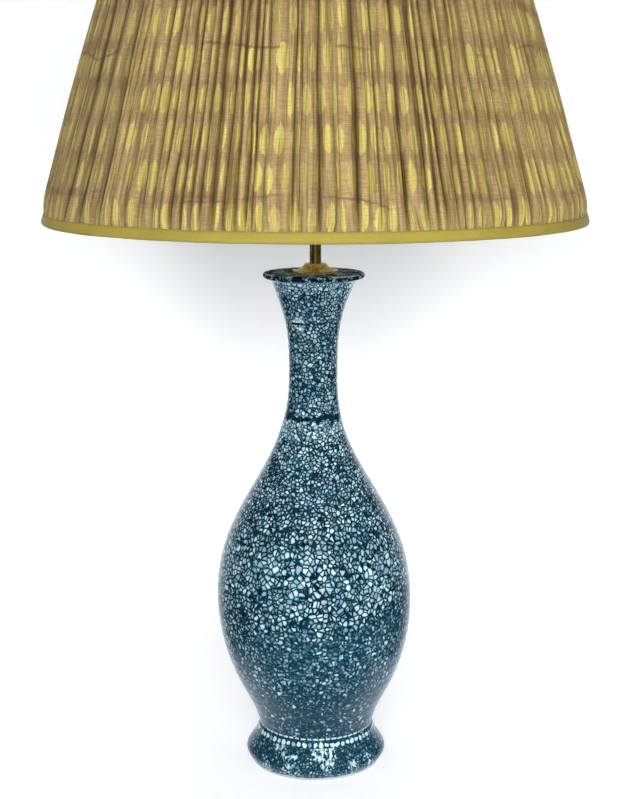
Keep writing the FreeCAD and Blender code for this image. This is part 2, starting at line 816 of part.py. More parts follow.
def make_set_screw():
    """The little screw through the cup's hub that locks the lampholder on the rod."""
    screw = doc.addObject("Part::Cylinder", "set_screw")
    screw.Label = "set_screw"
    screw.setExpression("Radius", bound("set_screw_radius"))
    screw.setExpression("Height", bound("hub_radius + set_screw_proud - thread_radius"))
    screw.Placement = FreeCAD.Placement(V(0, 0, 0), FreeCAD.Rotation(V(1, 0, 0), -90))
    screw.setExpression("Placement.Base.y", bound("thread_radius"))
    screw.setExpression("Placement.Base.z", bound("set_screw_height"))
    return screw


def make_holder_shell():
    """The brass shell, open at the top, with a hole for the turn knob's spindle."""
    body = make_ring_piece("holder_shell", "shell_inner", "shell_outer", "shell_bottom", "shell_top")
    side_hole(body, "shell_spindle_hole", "spindle_hole_radius", "spindle_height", "0")
    return body


def make_holder_sleeve():
    """The fibre sleeve that insulates the shell from the lamp contact."""
    body = make_ring_piece("holder_sleeve", "sleeve_inner", "sleeve_outer", "sleeve_bottom",
                           "sleeve_top")
    side_hole(body, "sleeve_spindle_hole", "spindle_hole_radius", "spindle_height", "0")
    return body


def make_switch_block():
    """The moulded block with the switch inside, drilled for the spindle and the terminals."""
    body = turned_piece("switch_block", [
        ("0", "block_bottom"),
        ("block_radius", "block_bottom"),
        ("block_radius", "block_top"),
        ("0", "block_top"),
    ])
    side_hole(body, "spindle_bearing", "spindle_radius + spindle_clearance", "spindle_height",
              "spindle_seat")
    holes = new_sketch(body, "XY_Plane", "terminal_circles", "block_bottom")
    for side in ("terminal_offset", "0 - terminal_offset"):
        draw_circle(holes, (side, "0"), "terminal_shank_radius + thread_clearance")
    extrude(body, holes, "terminal_holes", "Pocket", "terminal_depth", reverse=True)
    return body


def make_terminal_screws():
    """The two brass terminal screws in the underside of the block."""
    body = new_body("terminal_screws")
    for part, radius, offset, length in (
        ("shanks", "terminal_shank_radius", "block_bottom", "terminal_shank_length"),
        ("heads", "terminal_head_radius", "terminal_head_bottom", "terminal_head_height"),
    ):
        circles = new_sketch(body, "XY_Plane", f"terminal_{part}_circles", offset)
        for side in ("terminal_offset", "0 - terminal_offset"):
            draw_circle(circles, (side, "0"), radius)
        extrude(body, circles, f"terminal_{part}", "Pad", length)
    return body


def make_screw_shell():
    """The brass screw contact that takes the bulb's cap."""
    return turned_piece("screw_shell", [
        ("screw_shell_hole_radius", "block_top"),
        ("screw_shell_outer", "block_top"),
        ("screw_shell_outer", "screw_shell_top"),
        ("screw_shell_inner", "screw_shell_top"),
        ("screw_shell_inner", "block_top + contact_sheet"),
        ("screw_shell_hole_radius", "block_top + contact_sheet"),
    ])


def make_centre_contact():
    """The raised contact in the middle of the lampholder."""
    return turned_piece("centre_contact", [
        ("0", "block_top"),
        ("centre_contact_radius", "block_top"),
        ("centre_contact_radius", "centre_contact_top"),
        ("0", "centre_contact_top"),
    ])


# Turn knob of the switch, drawn upright and laid on its side


def lay_towards_front(body, height):
    """Turns a piece so that its own +Z points to the front, at the named height."""
    body.Placement = FreeCAD.Placement(V(0, 0, 0), FreeCAD.Rotation(V(1, 0, 0), 90))
    body.setExpression("Placement.Base.z", bound(height))


def make_switch_spindle():
    body = turned_piece("switch_spindle", [
        ("0", "spindle_inner_end"),
        ("spindle_radius", "spindle_inner_end"),
        ("spindle_radius", "spindle_end"),
        ("0", "spindle_end"),
    ])
    lay_towards_front(body, "spindle_height")
    return body


def make_switch_knob():
    body = turned_piece("switch_knob", [
        ("spindle_radius", "knob_inner_end"),
        ("knob_waist_radius", "knob_inner_end"),
        ("knob_waist_radius", "knob_inner_end + knob_collar"),
        ("knob_radius", "knob_inner_end + knob_collar + knob_collar"),
        ("knob_radius", "knob_outer_end - knob_collar"),
        Arc("knob_collar", 1),
        ("knob_radius - knob_collar", "knob_outer_end"),
        ("0", "knob_outer_end"),
        ("0", "spindle_end"),
        ("spindle_radius", "spindle_end"),
    ])
    lay_towards_front(body, "spindle_height")
    return body


# Bulb


def make_bulb_contact():
    return turned_piece("bulb_contact", [
        ("0", "bulb_bottom"),
        ("bulb_tip_radius - bulb_tip_height", "bulb_bottom"),
        Arc("bulb_tip_height", 1),
        ("bulb_tip_radius", "bulb_tip_top"),
        ("0", "bulb_tip_top"),
    ])


def make_bulb_insulator():
    return turned_piece("bulb_insulator", [
        ("0", "bulb_tip_top"),
        ("bulb_tip_radius", "bulb_tip_top"),
        ("bulb_insulator_radius", "bulb_insulator_top"),
        ("0", "bulb_insulator_top"),
    ])


def make_bulb_cap():
    return turned_piece("bulb_cap", [
        ("0", "bulb_insulator_top"),
        ("bulb_insulator_radius", "bulb_insulator_top"),
        ("lamp_thread_radius", "bulb_insulator_top + bulb_insulator_height"),
        ("lamp_thread_radius", "bulb_cap_top"),
        ("bulb_cap_inner", "bulb_cap_top"),
        ("bulb_cap_inner", "bulb_insulator_top + bulb_insulator_height"),
        ("bulb_insulator_radius", "bulb_insulator_top + contact_sheet"),
        ("0", "bulb_insulator_top + contact_sheet"),
    ])


def make_bulb_envelope():
    """The glass: a ball with a flared neck that sits in the cap."""
    return turned_piece("bulb_envelope", [
        ("bulb_neck_radius - bulb_glass", "bulb_neck_bottom"),
        ("bulb_neck_radius", "bulb_neck_bottom"),
        ("bulb_neck_radius", "bulb_flare_bottom"),
        Arc("bulb_flare_radius", -1),
        ("bulb_join_radius", "bulb_join_height"),
        Arc("bulb_radius", 1),
        ("bulb_radius", "bulb_centre"),
        Arc("bulb_radius", 1),
        ("0", "bulb_top"),
        ("0", "bulb_top - bulb_glass"),
        Arc("bulb_inner_radius", -1),
        ("bulb_inner_radius", "bulb_centre"),
        Arc("bulb_inner_radius", -1),
        ("bulb_inner_join_radius", "bulb_inner_join_height"),
        Arc("bulb_inner_flare_radius", 1),
        ("bulb_neck_radius - bulb_glass", "bulb_flare_bottom"),
    ])


def make_filament_carrier():
    """The glass stem in the bulb, from the neck up to the disc over the filaments."""
    return turned_piece("filament_carrier", [
        ("0", "bulb_neck_bottom"),
        ("bulb_neck_radius - bulb_glass - holder_fit", "bulb_neck_bottom"),
        ("bulb_neck_radius - bulb_glass - holder_fit", "bulb_neck_bottom + carrier_disc"),
        ("carrier_rod_radius", "bulb_flare_bottom"),
        ("carrier_rod_radius", "carrier_low - carrier_disc"),
        ("carrier_radius", "carrier_low - carrier_disc"),
        ("carrier_radius", "carrier_low"),
        ("carrier_rod_radius", "carrier_low"),
        ("carrier_rod_radius", "carrier_top"),
        ("carrier_radius", "carrier_top"),
        ("carrier_radius", "carrier_top + carrier_disc"),
        ("0", "carrier_top + carrier_disc"),
    ])


def make_filaments():
    """The upright filament sticks between the carrier's two discs."""
    body = new_body("filaments")
    stick = new_sketch(body, "XY_Plane", "filament_circle_sketch", "carrier_low")
    draw_circle(stick, ("filament_circle", "0"), "filament_radius")
    pad = extrude(body, stick, "filament_stick", "Pad", "filament_length")
    repeat_round(body, pad, "filament_pattern", "filament_count")
    return body


# Harp, its ferrules and the stud for the shade


def make_harp_bow():
    """The bow of round wire: up from the saddle, out, and over in a flat top."""
    body = new_body("harp_bow")
    path = new_sketch(body, "XZ_Plane", "harp_path")
    flare = number("harp_flare_radius")
    side = number("harp_side_radius")
    corner = number("harp_corner_radius")
    foot = number("harp_foot")
    width = number("harp_half_width")
    flat = number("harp_top_flat")
    top = number("harp_top")
    out_angle = math.acos(1 - (width - foot) / (flare + side))
    in_angle = math.acos((flat - width + side) / (side - corner))
    corner_centre = V(flat, top - corner, 0)
    corner_start = corner_centre + V(math.cos(in_angle), math.sin(in_angle), 0) * corner
    side_centre = V(width - side, corner_start.y - side * math.sin(in_angle), 0)
    side_start = side_centre + V(math.cos(out_angle), -math.sin(out_angle), 0) * side
    flare_start = V(foot, side_start.y - flare * math.sin(out_angle), 0)
    leg_bottom = V(foot, number("harp_bottom"), 0)
    leg = sketch_line(path, leg_bottom, flare_start)
    flare_arc = path.addGeometry(arc_between(flare_start, side_start, flare, -1), False)
    side_arc = path.addGeometry(arc_between(side_start, corner_start, side, 1), False)
    corner_arc = path.addGeometry(arc_between(corner_start, V(flat, top, 0), corner, 1), False)
    flat_line = sketch_line(path, V(flat, top, 0), V(0, top, 0))
    tie_point(path, leg, 1, ("harp_foot", "harp_bottom"))
    path.addConstraint(Sketcher.Constraint("Vertical", leg))
    path.addConstraint(Sketcher.Constraint("Horizontal", flat_line))
    for first, first_end, second, second_end in (
        (leg, 2, flare_arc, 2),
        (flare_arc, 1, side_arc, 1),
        (side_arc, 2, corner_arc, 1),
        (corner_arc, 2, flat_line, 1),
    ):
        path.addConstraint(Sketcher.Constraint("Tangent", first, first_end, second, second_end))
    tie_radius(path, flare_arc, "harp_flare_radius")
    tie_radius(path, side_arc, "harp_side_radius")
    tie_radius(path, corner_arc, "harp_corner_radius")
    tie_point(path, flat_line, 2, ("0", "harp_top"))
    index = path.addConstraint(Sketcher.Constraint("DistanceX", flat_line, 2, flat_line, 1, flat))
    path.setExpression(f"Constraints[{index}]", bound("harp_top_flat"))
    index = path.addConstraint(Sketcher.Constraint("DistanceX", side_arc, 3, -1, 1, side - width))
    path.setExpression(f"Constraints[{index}]", bound("harp_side_radius - harp_half_width"))
    section = new_sketch(body, "XY_Plane", "harp_section", "harp_bottom")
    draw_circle(section, ("harp_foot", "0"), "harp_wire_radius")
    pipe = body.newObject("PartDesign::AdditivePipe", "harp_side")
    pipe.Profile = section
    pipe.Spine = path
    doc.recompute()
    mirror = body.newObject("PartDesign::Mirrored", "harp_other_side")
    mirror.Originals = [pipe]
    middle = next(f for f in body.Origin.OriginFeatures if f.Role == "YZ_Plane")
    mirror.MirrorPlane = (middle, [""])
    body.Tip = mirror
    return body


def sketch_line(sketch, start, end):
    return sketch.addGeometry(Part.LineSegment(start, end), False)


def make_ferrule(name, side):
    """The tube that drops over a tongue and the harp's foot; side is 1 or -1 along X."""
    body = make_ring_piece(name, "ferrule_inner", "ferrule_outer", "ferrule_bottom",
                           "ferrule_bottom + ferrule_length")
    across = "ferrule_centre" if side > 0 else "0 - ferrule_centre"
    body.setExpression("Placement.Base.x", bound(across))
    return body


def make_harp_stud():
    """The turned hub on the harp's top, with the seat and the threaded stud for the shade."""
    body = turned_piece("harp_stud", [
        ("0", "harp_hub_bottom"),
        ("harp_hub_radius", "harp_hub_bottom"),
        ("harp_hub_radius", "harp_seat_bottom"),
        ("harp_seat_radius", "harp_seat_bottom"),
        ("harp_seat_radius", "harp_seat_top"),
        ("stud_radius", "harp_seat_top"),
        ("stud_radius", "stud_top"),
        ("0", "stud_top"),
    ])
    bore = new_sketch(body, "YZ_Plane", "wire_bore_circle")
    draw_circle(bore, ("0", "harp_top"), "harp_wire_radius + thread_clearance")
    extrude(body, bore, "wire_bore", "Pocket", midplane=True)
    return body


# Shade


def fold_widths():
    """Uneven widths of the cover's folds as angles, from the golden ratio's fractions."""
    count = int(number("pleat_count"))
    unevenness = number("pleat_unevenness")
    golden = (math.sqrt(5) - 1) / 2
    shares = [1 + unevenness * (2 * (index * golden % 1) - 1) for index in range(count)]
    return [2 * math.pi * share / sum(shares) for share in shares]


def fold_ring(radius, height, depth_ratio, widths):
    """A closed ring of arcs at one height, each bulging out by a share of its own width."""
    edges = []
    angle = 0.0
    for width in widths:
        bulge = radius + depth_ratio * radius * width
        stops = (angle, angle + width / 2, angle + width)
        reaches = (radius, bulge, radius)
        start, crest, end = (
            V(reach * math.cos(stop), reach * math.sin(stop), height)
            for reach, stop in zip(reaches, stops)
        )
        edges.append(Part.Arc(start, crest, end).toShape())
        angle += width
    return Part.Wire(edges)


def make_shade_cover():
    """The gathered cloth: folds between the two hems, nearly flat under the trims."""
    low = number("cover_bottom")
    high = number("cover_top")
    base = number("fold_bottom_radius")
    slope = number("shade_slope")
    full = number("pleat_depth_ratio")
    widths = fold_widths()
    flat = number("hem_pleat_depth") / (base * max(widths))
    run_in = number("pleat_run_in")
    hem_top = number("hem_top")
    hem_bottom = number("hem_bottom")
    levels = [
        (low, flat),
        (hem_top, flat),
        (hem_top + run_in, full),
        (hem_bottom - run_in, full),
        (hem_bottom, flat),
        (high, flat),
    ]
    rings = [fold_ring(base - slope * (z - low), z, ratio, widths) for z, ratio in levels]
    folded = Part.makeLoft(rings, True, True)
    cloth = number("cloth_thickness")
    hollow = Part.makeCone(base - cloth, base - cloth - slope * (high - low), high - low, V(0, 0, low))
    cover = doc.addObject("Part::Feature", "shade_cover")
    cover.Label = "shade_cover"
    cover.Shape = folded.cut(hollow)
    return cover


def slit_for_arms(body, name):
    """Cuts the cloth round each spider arm, where the arm passes through to the top ring."""
    circle = new_sketch(body, "YZ_Plane", name + "_circle")
    draw_circle(circle, ("0", "arm_slit_height"), "arm_wire_radius + arm_slit_clearance")
    slit = extrude(body, circle, name, "Pocket", reverse=True)
    repeat_round(body, slit, name + "_pattern", "arm_count")


def make_shade_lining():
    """The plain inner cloth, inside the frame's struts."""
    body = turned_piece("shade_lining", [
        ("lining_bottom_radius - lining_thickness", "cover_bottom"),
        ("lining_bottom_radius", "cover_bottom"),
        ("lining_top_radius", "cover_top"),
        ("lining_top_radius - lining_thickness", "cover_top"),
    ])
    slit_for_arms(body, "lining_slit")
    return body


def make_bottom_trim():
    """The cloth band rolled round the shade's lower edge, with bevelled turns."""
    return turned_piece("bottom_trim", [
        ("hem_outer_radius", "hem_top"),
        ("hem_outer_radius - trim_thickness", "hem_top"),
        ("shade_bottom_radius - trim_thickness", "cover_bottom"),
        ("shade_bottom_radius - trim_thickness", "trim_low_turn"),
        ("shade_bottom_radius - trim_inner_bevel", "shade_bottom + trim_inner_bevel"),
        ("shade_bottom_radius - trim_round", "shade_bottom + trim_thickness"),
        ("trim_inner_bottom + trim_round", "shade_bottom + trim_thickness"),
        ("trim_inner_bottom + trim_inner_bevel", "shade_bottom + trim_inner_bevel"),
        ("trim_inner_bottom + trim_thickness", "trim_low_turn"),
        ("trim_inner_bottom + trim_thickness", "cover_bottom"),
        ("hem_inner_radius + trim_thickness", "hem_top"),
        ("hem_inner_radius", "hem_top"),
        ("trim_inner_bottom", "cover_bottom"),
        ("trim_inner_bottom", "trim_low_turn"),
        ("trim_inner_bottom + trim_bevel", "shade_bottom + trim_bevel"),
        ("trim_inner_bottom + trim_round", "shade_bottom"),
        ("shade_bottom_radius - trim_round", "shade_bottom"),
        ("shade_bottom_radius - trim_bevel", "shade_bottom + trim_bevel"),
        ("shade_bottom_radius", "trim_low_turn"),
        ("shade_bottom_radius", "cover_bottom"),
    ])


def make_top_trim():
    """The same band over the upper edge, slit on the inside for the arms."""
    body = turned_piece("top_trim", [
        ("brow_outer_radius", "hem_bottom"),
        ("shade_top_radius", "cover_top"),
        ("shade_top_radius", "trim_high_turn"),
        ("shade_top_radius - trim_bevel", "shade_top - trim_bevel"),
        ("shade_top_radius - trim_round", "shade_top"),
        ("trim_inner_top + trim_round", "shade_top"),
        ("trim_inner_top + trim_bevel", "shade_top - trim_bevel"),
        ("trim_inner_top", "trim_high_turn"),
        ("trim_inner_top", "cover_top"),
        ("brow_inner_radius", "hem_bottom"),
        ("brow_inner_radius + trim_thickness", "hem_bottom"),
        ("trim_inner_top + trim_thickness", "cover_top"),
        ("trim_inner_top + trim_thickness", "trim_high_turn"),
        ("trim_inner_top + trim_inner_bevel", "shade_top - trim_inner_bevel"),
        ("trim_inner_top + trim_round", "shade_top - trim_thickness"),
        ("shade_top_radius - trim_round", "shade_top - trim_thickness"),
        ("shade_top_radius - trim_inner_bevel", "shade_top - trim_inner_bevel"),
        ("shade_top_radius - trim_thickness", "trim_high_turn"),
        ("shade_top_radius - trim_thickness", "cover_top"),
        ("brow_outer_radius - trim_thickness", "hem_bottom"),
    ])
    slit_for_arms(body, "trim_slit")
    return body


def make_wire_ring(name, radius, height):
    """A ring of the frame's round wire."""
    body = new_body(name)
    section = new_sketch(body, "XZ_Plane", name + "_section")
    draw_circle(section, (radius, height), "frame_wire_radius")
    ring = body.newObject("PartDesign::Revolution", name + "_turning")
    ring.Profile = section
    ring.ReferenceAxis = (section, ["V_Axis"])
    ring.Angle = 360
    return body


def make_struts():
    """The straight wires from ring to ring, evenly spaced."""
    body = new_body("shade_struts")
    low = new_sketch(body, "XY_Plane", "strut_foot_circle", "frame_bottom")
    draw_circle(low, ("frame_bottom_radius", "0"), "strut_wire_radius")
    high = new_sketch(body, "XY_Plane", "strut_head_circle", "frame_top")
    draw_circle(high, ("frame_top_radius", "0"), "strut_wire_radius")
    strut = body.newObject("PartDesign::AdditiveLoft", "strut")
    strut.Profile = low
    strut.Sections = [high]
    strut.Ruled = True
    repeat_round(body, strut, "strut_pattern", "strut_count")
    half_pitch = 180 / number("strut_count")
    body.Placement = FreeCAD.Placement(V(0, 0, 0), FreeCAD.Rotation(V(0, 0, 1), half_pitch))
    body.setExpression("Placement.Rotation.Angle", bound("180 deg / strut_count"))
    return body


def make_spider_arms():
    """The wires that carry the washer ring from the shade's top ring."""
    body = new_body("spider_arms")
    inner = new_sketch(body, "YZ_Plane", "arm_inner_circle", "arm_start")
    draw_circle(inner, ("0", "arm_height"), "arm_wire_radius")
    outer = new_sketch(body, "YZ_Plane", "arm_outer_circle", "frame_top_radius")
    draw_circle(outer, ("0", "frame_top"), "arm_wire_radius")
    arm = body.newObject("PartDesign::AdditiveLoft", "arm")
    arm.Profile = inner
    arm.Sections = [outer]
    arm.Ruled = True
    repeat_round(body, arm, "arm_pattern", "arm_count")
    return body


def make_finial():
    """The turned brass knob that screws on the stud and holds the shade."""
    return turned_piece("finial", [
        ("finial_hole_radius", "finial_bottom"),
        ("finial_base_radius", "finial_bottom"),
        ("finial_base_radius", "finial_base_top"),
        ("finial_neck_radius", "finial_neck_top"),
        Arc("finial_ball_radius", 1),
        ("finial_ball_radius", "finial_ball_centre"),
        Arc("finial_ball_radius", 1),
        ("0", "finial_top"),
        ("0", "finial_hole_top"),
        ("finial_hole_radius", "finial_hole_top"),
    ])


pieces = [
    make_vase(),
    make_cable_bush(),
    make_base_baize(),
    make_ring_piece("base_seal", "thread_radius", "washer_radius", "seal_bottom", "floor_height"),
    make_ring_piece("base_washer", "thread_radius", "washer_radius", "washer_bottom", "seal_bottom"),
    make_nut("base_nut", "nut_bottom"),
    make_stem_rod(),
    make_ring_piece("rim_seal", "brim_radius - rim_seal_width", "brim_radius", "rim_top", "cap_bottom"),
    make_vase_cap(),
    make_nut("saddle_nut", "locknut_bottom"),
    make_harp_saddle(),
    make_holder_cap(),
    make_set_screw(),
    make_holder_shell(),
    make_holder_sleeve(),
    make_switch_block(),
    make_terminal_screws(),
    make_screw_shell(),
    make_centre_contact(),
    make_switch_spindle(),
    make_switch_knob(),
    make_bulb_contact(),
    make_bulb_insulator(),
    make_bulb_cap(),
    make_bulb_envelope(),
    make_filament_carrier(),
    make_filaments(),
    make_harp_bow(),
    make_ferrule("ferrule_left", -1),
    make_ferrule("ferrule_right", 1),
    make_harp_stud(),
    make_shade_cover(),
    make_shade_lining(),
    make_bottom_trim(),
    make_top_trim(),
    make_wire_ring("shade_bottom_ring", "frame_bottom_radius", "frame_bottom"),
    make_wire_ring("shade_top_ring", "frame_top_radius", "frame_top"),
    make_struts(),
    make_spider_arms(),
    make_ring_piece("washer_ring", "washer_ring_hole", "washer_ring_radius", "washer_ring_bottom",
                    "washer_ring_top"),
    make_finial(),
]
doc.recompute()

failed = [item.Name for item in doc.Objects if {"Invalid", "Error"} & set(item.State)]
if failed:
    raise RuntimeError("these objects did not build: " + ", ".join(failed))
bad = [piece.Label for piece in pieces if piece.Shape.isNull() or not piece.Shape.isValid()]
if bad:
    raise RuntimeError("these pieces have no valid solid: " + ", ".join(bad))

os.makedirs("parts", exist_ok=True)
for piece in pieces:
    piece.Shape.exportStep(os.path.join("parts", piece.Label + ".step"))
    print(f"{piece.Label}: {len(piece.Shape.Solids)} solid(s), {piece.Shape.Volume:.1f} mm3")
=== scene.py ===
import math

import bmesh
import bpy
import numpy as np
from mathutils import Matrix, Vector


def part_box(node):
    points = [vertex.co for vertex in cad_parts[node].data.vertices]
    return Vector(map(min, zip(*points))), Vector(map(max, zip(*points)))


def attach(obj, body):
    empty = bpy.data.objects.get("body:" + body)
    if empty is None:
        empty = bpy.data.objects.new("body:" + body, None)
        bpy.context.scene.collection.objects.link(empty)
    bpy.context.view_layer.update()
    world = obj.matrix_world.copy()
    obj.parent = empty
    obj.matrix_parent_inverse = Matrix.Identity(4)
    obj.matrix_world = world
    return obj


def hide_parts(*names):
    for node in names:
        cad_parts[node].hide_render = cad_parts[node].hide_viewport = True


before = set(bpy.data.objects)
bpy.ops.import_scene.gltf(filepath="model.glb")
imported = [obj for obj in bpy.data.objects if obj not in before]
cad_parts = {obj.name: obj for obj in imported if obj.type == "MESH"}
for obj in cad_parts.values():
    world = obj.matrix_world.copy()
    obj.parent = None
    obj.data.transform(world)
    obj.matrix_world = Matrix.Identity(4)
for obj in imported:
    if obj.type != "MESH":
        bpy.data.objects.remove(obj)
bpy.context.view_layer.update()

bl_info = {
    "name": "Crackle Vase Table Lamp",
    "version": (1, 0, 0),
    "blender": (4, 5, 0),
    "location": "View3D > Sidebar > Lamp",
    "description": "Dresses a ceramic table lamp with crackle glaze, brass and a gathered silk shade",
    "category": "Object",
}

MM = 0.001
FULL_TURN = 2 * math.pi
WHITE = (1.0, 1.0, 1.0, 1.0)


# Colours are written as a paint maker would, in 0 to 255, and used as linear light


def paint(red, green, blue):
    """A colour from 0 to 255 as linear light: each channel's display curve undone."""
    share = np.array([red, green, blue]) / 255
    linear = np.where(share <= 0.04045, share / 12.92, ((share + 0.055) / 1.055) ** 2.4)
    return (*(float(x) for x in linear), 1.0)


def dimmed(colour, share):
    """A colour with each channel at a share of its value."""
    return (*(share * channel for channel in colour[:3]), 1.0)


def colour_property(name, description, *tone):
    return bpy.props.FloatVectorProperty(
        name=name, description=description, subtype="COLOR", size=4, min=0, max=1, default=paint(*tone)
    )


def length_property(name, description, millimetres):
    return bpy.props.FloatProperty(
        name=name, description=description, unit="LENGTH", min=0, precision=5, default=millimetres * MM
    )


def strength_property(name, description, strength):
    return bpy.props.FloatProperty(name=name, description=description, min=0, default=strength)


class LampGlazeSettings(bpy.types.PropertyGroup):
    """Sizes and colours of the glaze."""

    fleck: colour_property("Fleck", "Pale glaze islands between the cracks", 210, 238, 249)
    fleck_shade: colour_property("Fleck shade", "The darker of the pale islands", 130, 188, 211)
    shard: colour_property("Shard", "Half-covered islands deeper in the glaze", 50, 106, 124)
    crack: colour_property("Crack", "Dark glaze in the cracks", 0, 29, 43)
    crack_light: colour_property("Thin crack", "Dark glaze where it lies thin", 2, 43, 59)
    # the lighter slate in the cracks low on the belly is partly the glaze and partly a painted reflection of
    # the floor
    slate_and_floor_reflection: colour_property("Slate", "The smoky glaze low on the belly", 16, 54, 70)
    rim: colour_property("Rim", "Dry mottled glaze on top of the rim", 176, 204, 206)
    clay: colour_property("Clay", "Bare fired clay of the foot ring", 200, 209, 212)
    belly_island: length_property("Belly island", "Width of the pale islands on the belly", 4.3)
    neck_island: length_property("Neck island", "Width of the pale islands elsewhere", 3.2)
    throwing: length_property("Throwing lines", "Height of the faint rings left by the wheel", 0.10)


class LampShadeSettings(bpy.types.PropertyGroup):
    """Sizes and colours of the shade."""

    cloth: colour_property("Cloth", "Ground colour of the gathered silk", 194, 168, 113)
    cloth_dark: colour_property("Slubs", "The darker threads of the silk", 158, 128, 80)
    motif: colour_property("Motif", "Resist-dyed lozenges", 204, 184, 90)
    motif_light: colour_property("Bright motif", "The brightest of the lozenges", 224, 210, 128)
    trim: colour_property("Trim", "Silk of the rolled bands", 166, 150, 69)
    lining: colour_property("Lining", "Plain inner cloth", 226, 214, 186)
    motif_width: length_property("Motif spacing", "Cloth from one lozenge to the next", 17.0)
    motif_height: length_property("Motif rows", "Height of one row of lozenges", 29.0)
    cloth_thickness: length_property("Cloth thickness", "Thickness of the silk", 0.45)


class LampMetalSettings(bpy.types.PropertyGroup):
    """Colours of the metal fittings."""

    brass: colour_property("Brass", "Lacquered brass of the cap and fittings", 246, 222, 138)
    # the stem's lighter streaks: painted reflections along the tube, and also wear
    streak_wear_and_reflection: colour_property("Bronze", "Worn streaks of the darker stem", 206, 180, 112)
    steel: colour_property("Steel", "Zinc plated steel", 176, 178, 178)


class LampStudioSettings(bpy.types.PropertyGroup):
    """Strength of the lights."""

    ambient: strength_property("Room light", "Even light from all round", 0.16)
    key: strength_property("Key light", "Power of the front soft box in watts", 36.5)
    fill: strength_property("Fill light", "Power of the left soft box in watts; the right is stronger", 1.3)


SETTINGS = {
    "lamp_glaze": LampGlazeSettings,
    "lamp_shade": LampShadeSettings,
    "lamp_metal": LampMetalSettings,
    "lamp_studio": LampStudioSettings,
}


# Material building


class Finish:
    """One procedural material, or the world's light. Each method adds nodes and gives back an
    output socket."""

    def __init__(self, name, collection="materials"):
        self.owner = getattr(bpy.data, collection).new(name)
        self.owner.use_nodes = True
        self.tree = self.owner.node_tree
        self.tree.nodes.clear()

    def node(self, kind, inputs, **settings):
        """Adds a node with its settings, and feeds each named input a socket or a constant."""
        made = self.tree.nodes.new(kind)
        for key, value in settings.items():
            setattr(made, key, value)
        for key, value in inputs.items():
            if isinstance(value, bpy.types.NodeSocket):
                self.tree.links.new(value, made.inputs[key])
            else:
                made.inputs[key].default_value = value
        return made

    def calc(self, operation, *values):
        """One step of arithmetic."""
        return self.node("ShaderNodeMath", dict(enumerate(values)), operation=operation).outputs[0]

    def in_turn(self, operation, values):
        """One operation over all the values, from left to right."""
        total = values[0]
        for value in values[1:]:
            total = self.calc(operation, total, value)
        return total

    def plus(self, *values):
        """The sum of the values."""
        return self.in_turn("ADD", values)

    def times(self, *values):
        """The product of the values."""
        return self.in_turn("MULTIPLY", values)

    def larger(self, *values):
        """The largest of the values."""
        return self.in_turn("MAXIMUM", values)

    def minus(self, first, second):
        """The first value less the second."""
        return self.calc("SUBTRACT", first, second)

    def over(self, first, second):
        """The first value divided by the second."""
        return self.calc("DIVIDE", first, second)

    def unsigned(self, value):
        """The value without its sign."""
        return self.calc("ABSOLUTE", value)

    def rest(self, share):
        """What a share leaves of 1."""
        return self.minus(1.0, share)

    def vector_calc(self, operation, first, second):
        """One step of vector arithmetic."""
        return self.node("ShaderNodeVectorMath", {0: first, 1: second}, operation=operation).outputs[0]

    def stretch(self, where, scale):
        """The coordinates times a scale for each axis."""
        return self.vector_calc("MULTIPLY", where, scale)

    def place(self):
        """The point on the object in millimetres."""
        coordinates = self.node("ShaderNodeTexCoord", {}).outputs["Object"]
        return self.stretch(coordinates, (1 / MM,) * 3)

    def cloth_map(self):
        """The place on the flat cloth in millimetres, from the piece's own UV map."""
        flat = self.node("ShaderNodeUVMap", {}, uv_map="cloth").outputs[0]
        return self.stretch(flat, (1 / MM,) * 3)

    def parts(self, vector):
        """The three numbers of a vector."""
        return self.node("ShaderNodeSeparateXYZ", {0: vector}).outputs

    def join(self, x, y, z=0.0):
        """A vector from three numbers."""
        return self.node("ShaderNodeCombineXYZ", {0: x, 1: y, 2: z}).outputs[0]

    def noise(self, where, size, detail=2.0, roughness=0.5):
        """Soft noise from 0 to 1, with features of about the given size."""
        inputs = {"Vector": where, "Scale": 1 / size, "Detail": detail, "Roughness": roughness}
        return self.node("ShaderNodeTexNoise", inputs).outputs[0]

    def drawn_out(self, where, scale, detail=2.0, roughness=0.5):
        """Soft noise over coordinates that are scaled for each axis: threads, streaks and clouds."""
        return self.noise(self.stretch(where, scale), 1.0, detail, roughness)

    def cells(self, where, size=1.0, feature="F1", output="Distance"):
        """Cells of about the given size, read by the distance from their middles or another output."""
        inputs = {"Vector": where, "Scale": 1 / size}
        return self.node("ShaderNodeTexVoronoi", inputs, feature=feature).outputs[output]

    def cell_edge(self, where, size=1.0):
        """The distance from the edges between the cells."""
        return self.cells(where, size, feature="DISTANCE_TO_EDGE")

    def cell_kind(self, where, size=1.0):
        """Three random numbers for each cell."""
        return self.parts(self.cells(where, size, output="Color"))

    def random(self, where):
        """A random number for each whole-numbered place."""
        return self.node("ShaderNodeTexWhiteNoise", {"Vector": where}, noise_dimensions="3D").outputs[0]

    def attribute(self, name):
        """A number stored on the mesh."""
        return self.node("ShaderNodeAttribute", {}, attribute_name=name).outputs["Fac"]

    def step(self, value, low, high):
        """A smooth rise from 0 at low to 1 at high."""
        inputs = {0: value, 1: low, 2: high, 3: 0.0, 4: 1.0}
        return self.node("ShaderNodeMapRange", inputs, interpolation_type="SMOOTHSTEP").outputs[0]

    def span(self, value, low, high, first, last):
        """A straight change from first to last while the value goes from low to high."""
        return self.node("ShaderNodeMapRange", {0: value, 1: low, 2: high, 3: first, 4: last}).outputs[0]

    def between(self, share, first, last):
        """A straight change from first to last while the share goes from 0 to 1."""
        return self.span(share, 0.0, 1.0, first, last)

    def swing(self, noise, first, last):
        """Noise, which hardly leaves 0.3 to 0.7, as a number that swings from first to last."""
        return self.span(noise, 0.3, 0.7, first, last)

    def band(self, value, low, high, soft):
        """1 between low and high, with soft edges."""
        rise = self.step(value, low - soft, low + soft)
        return self.times(rise, self.step(value, high + soft, high - soft))

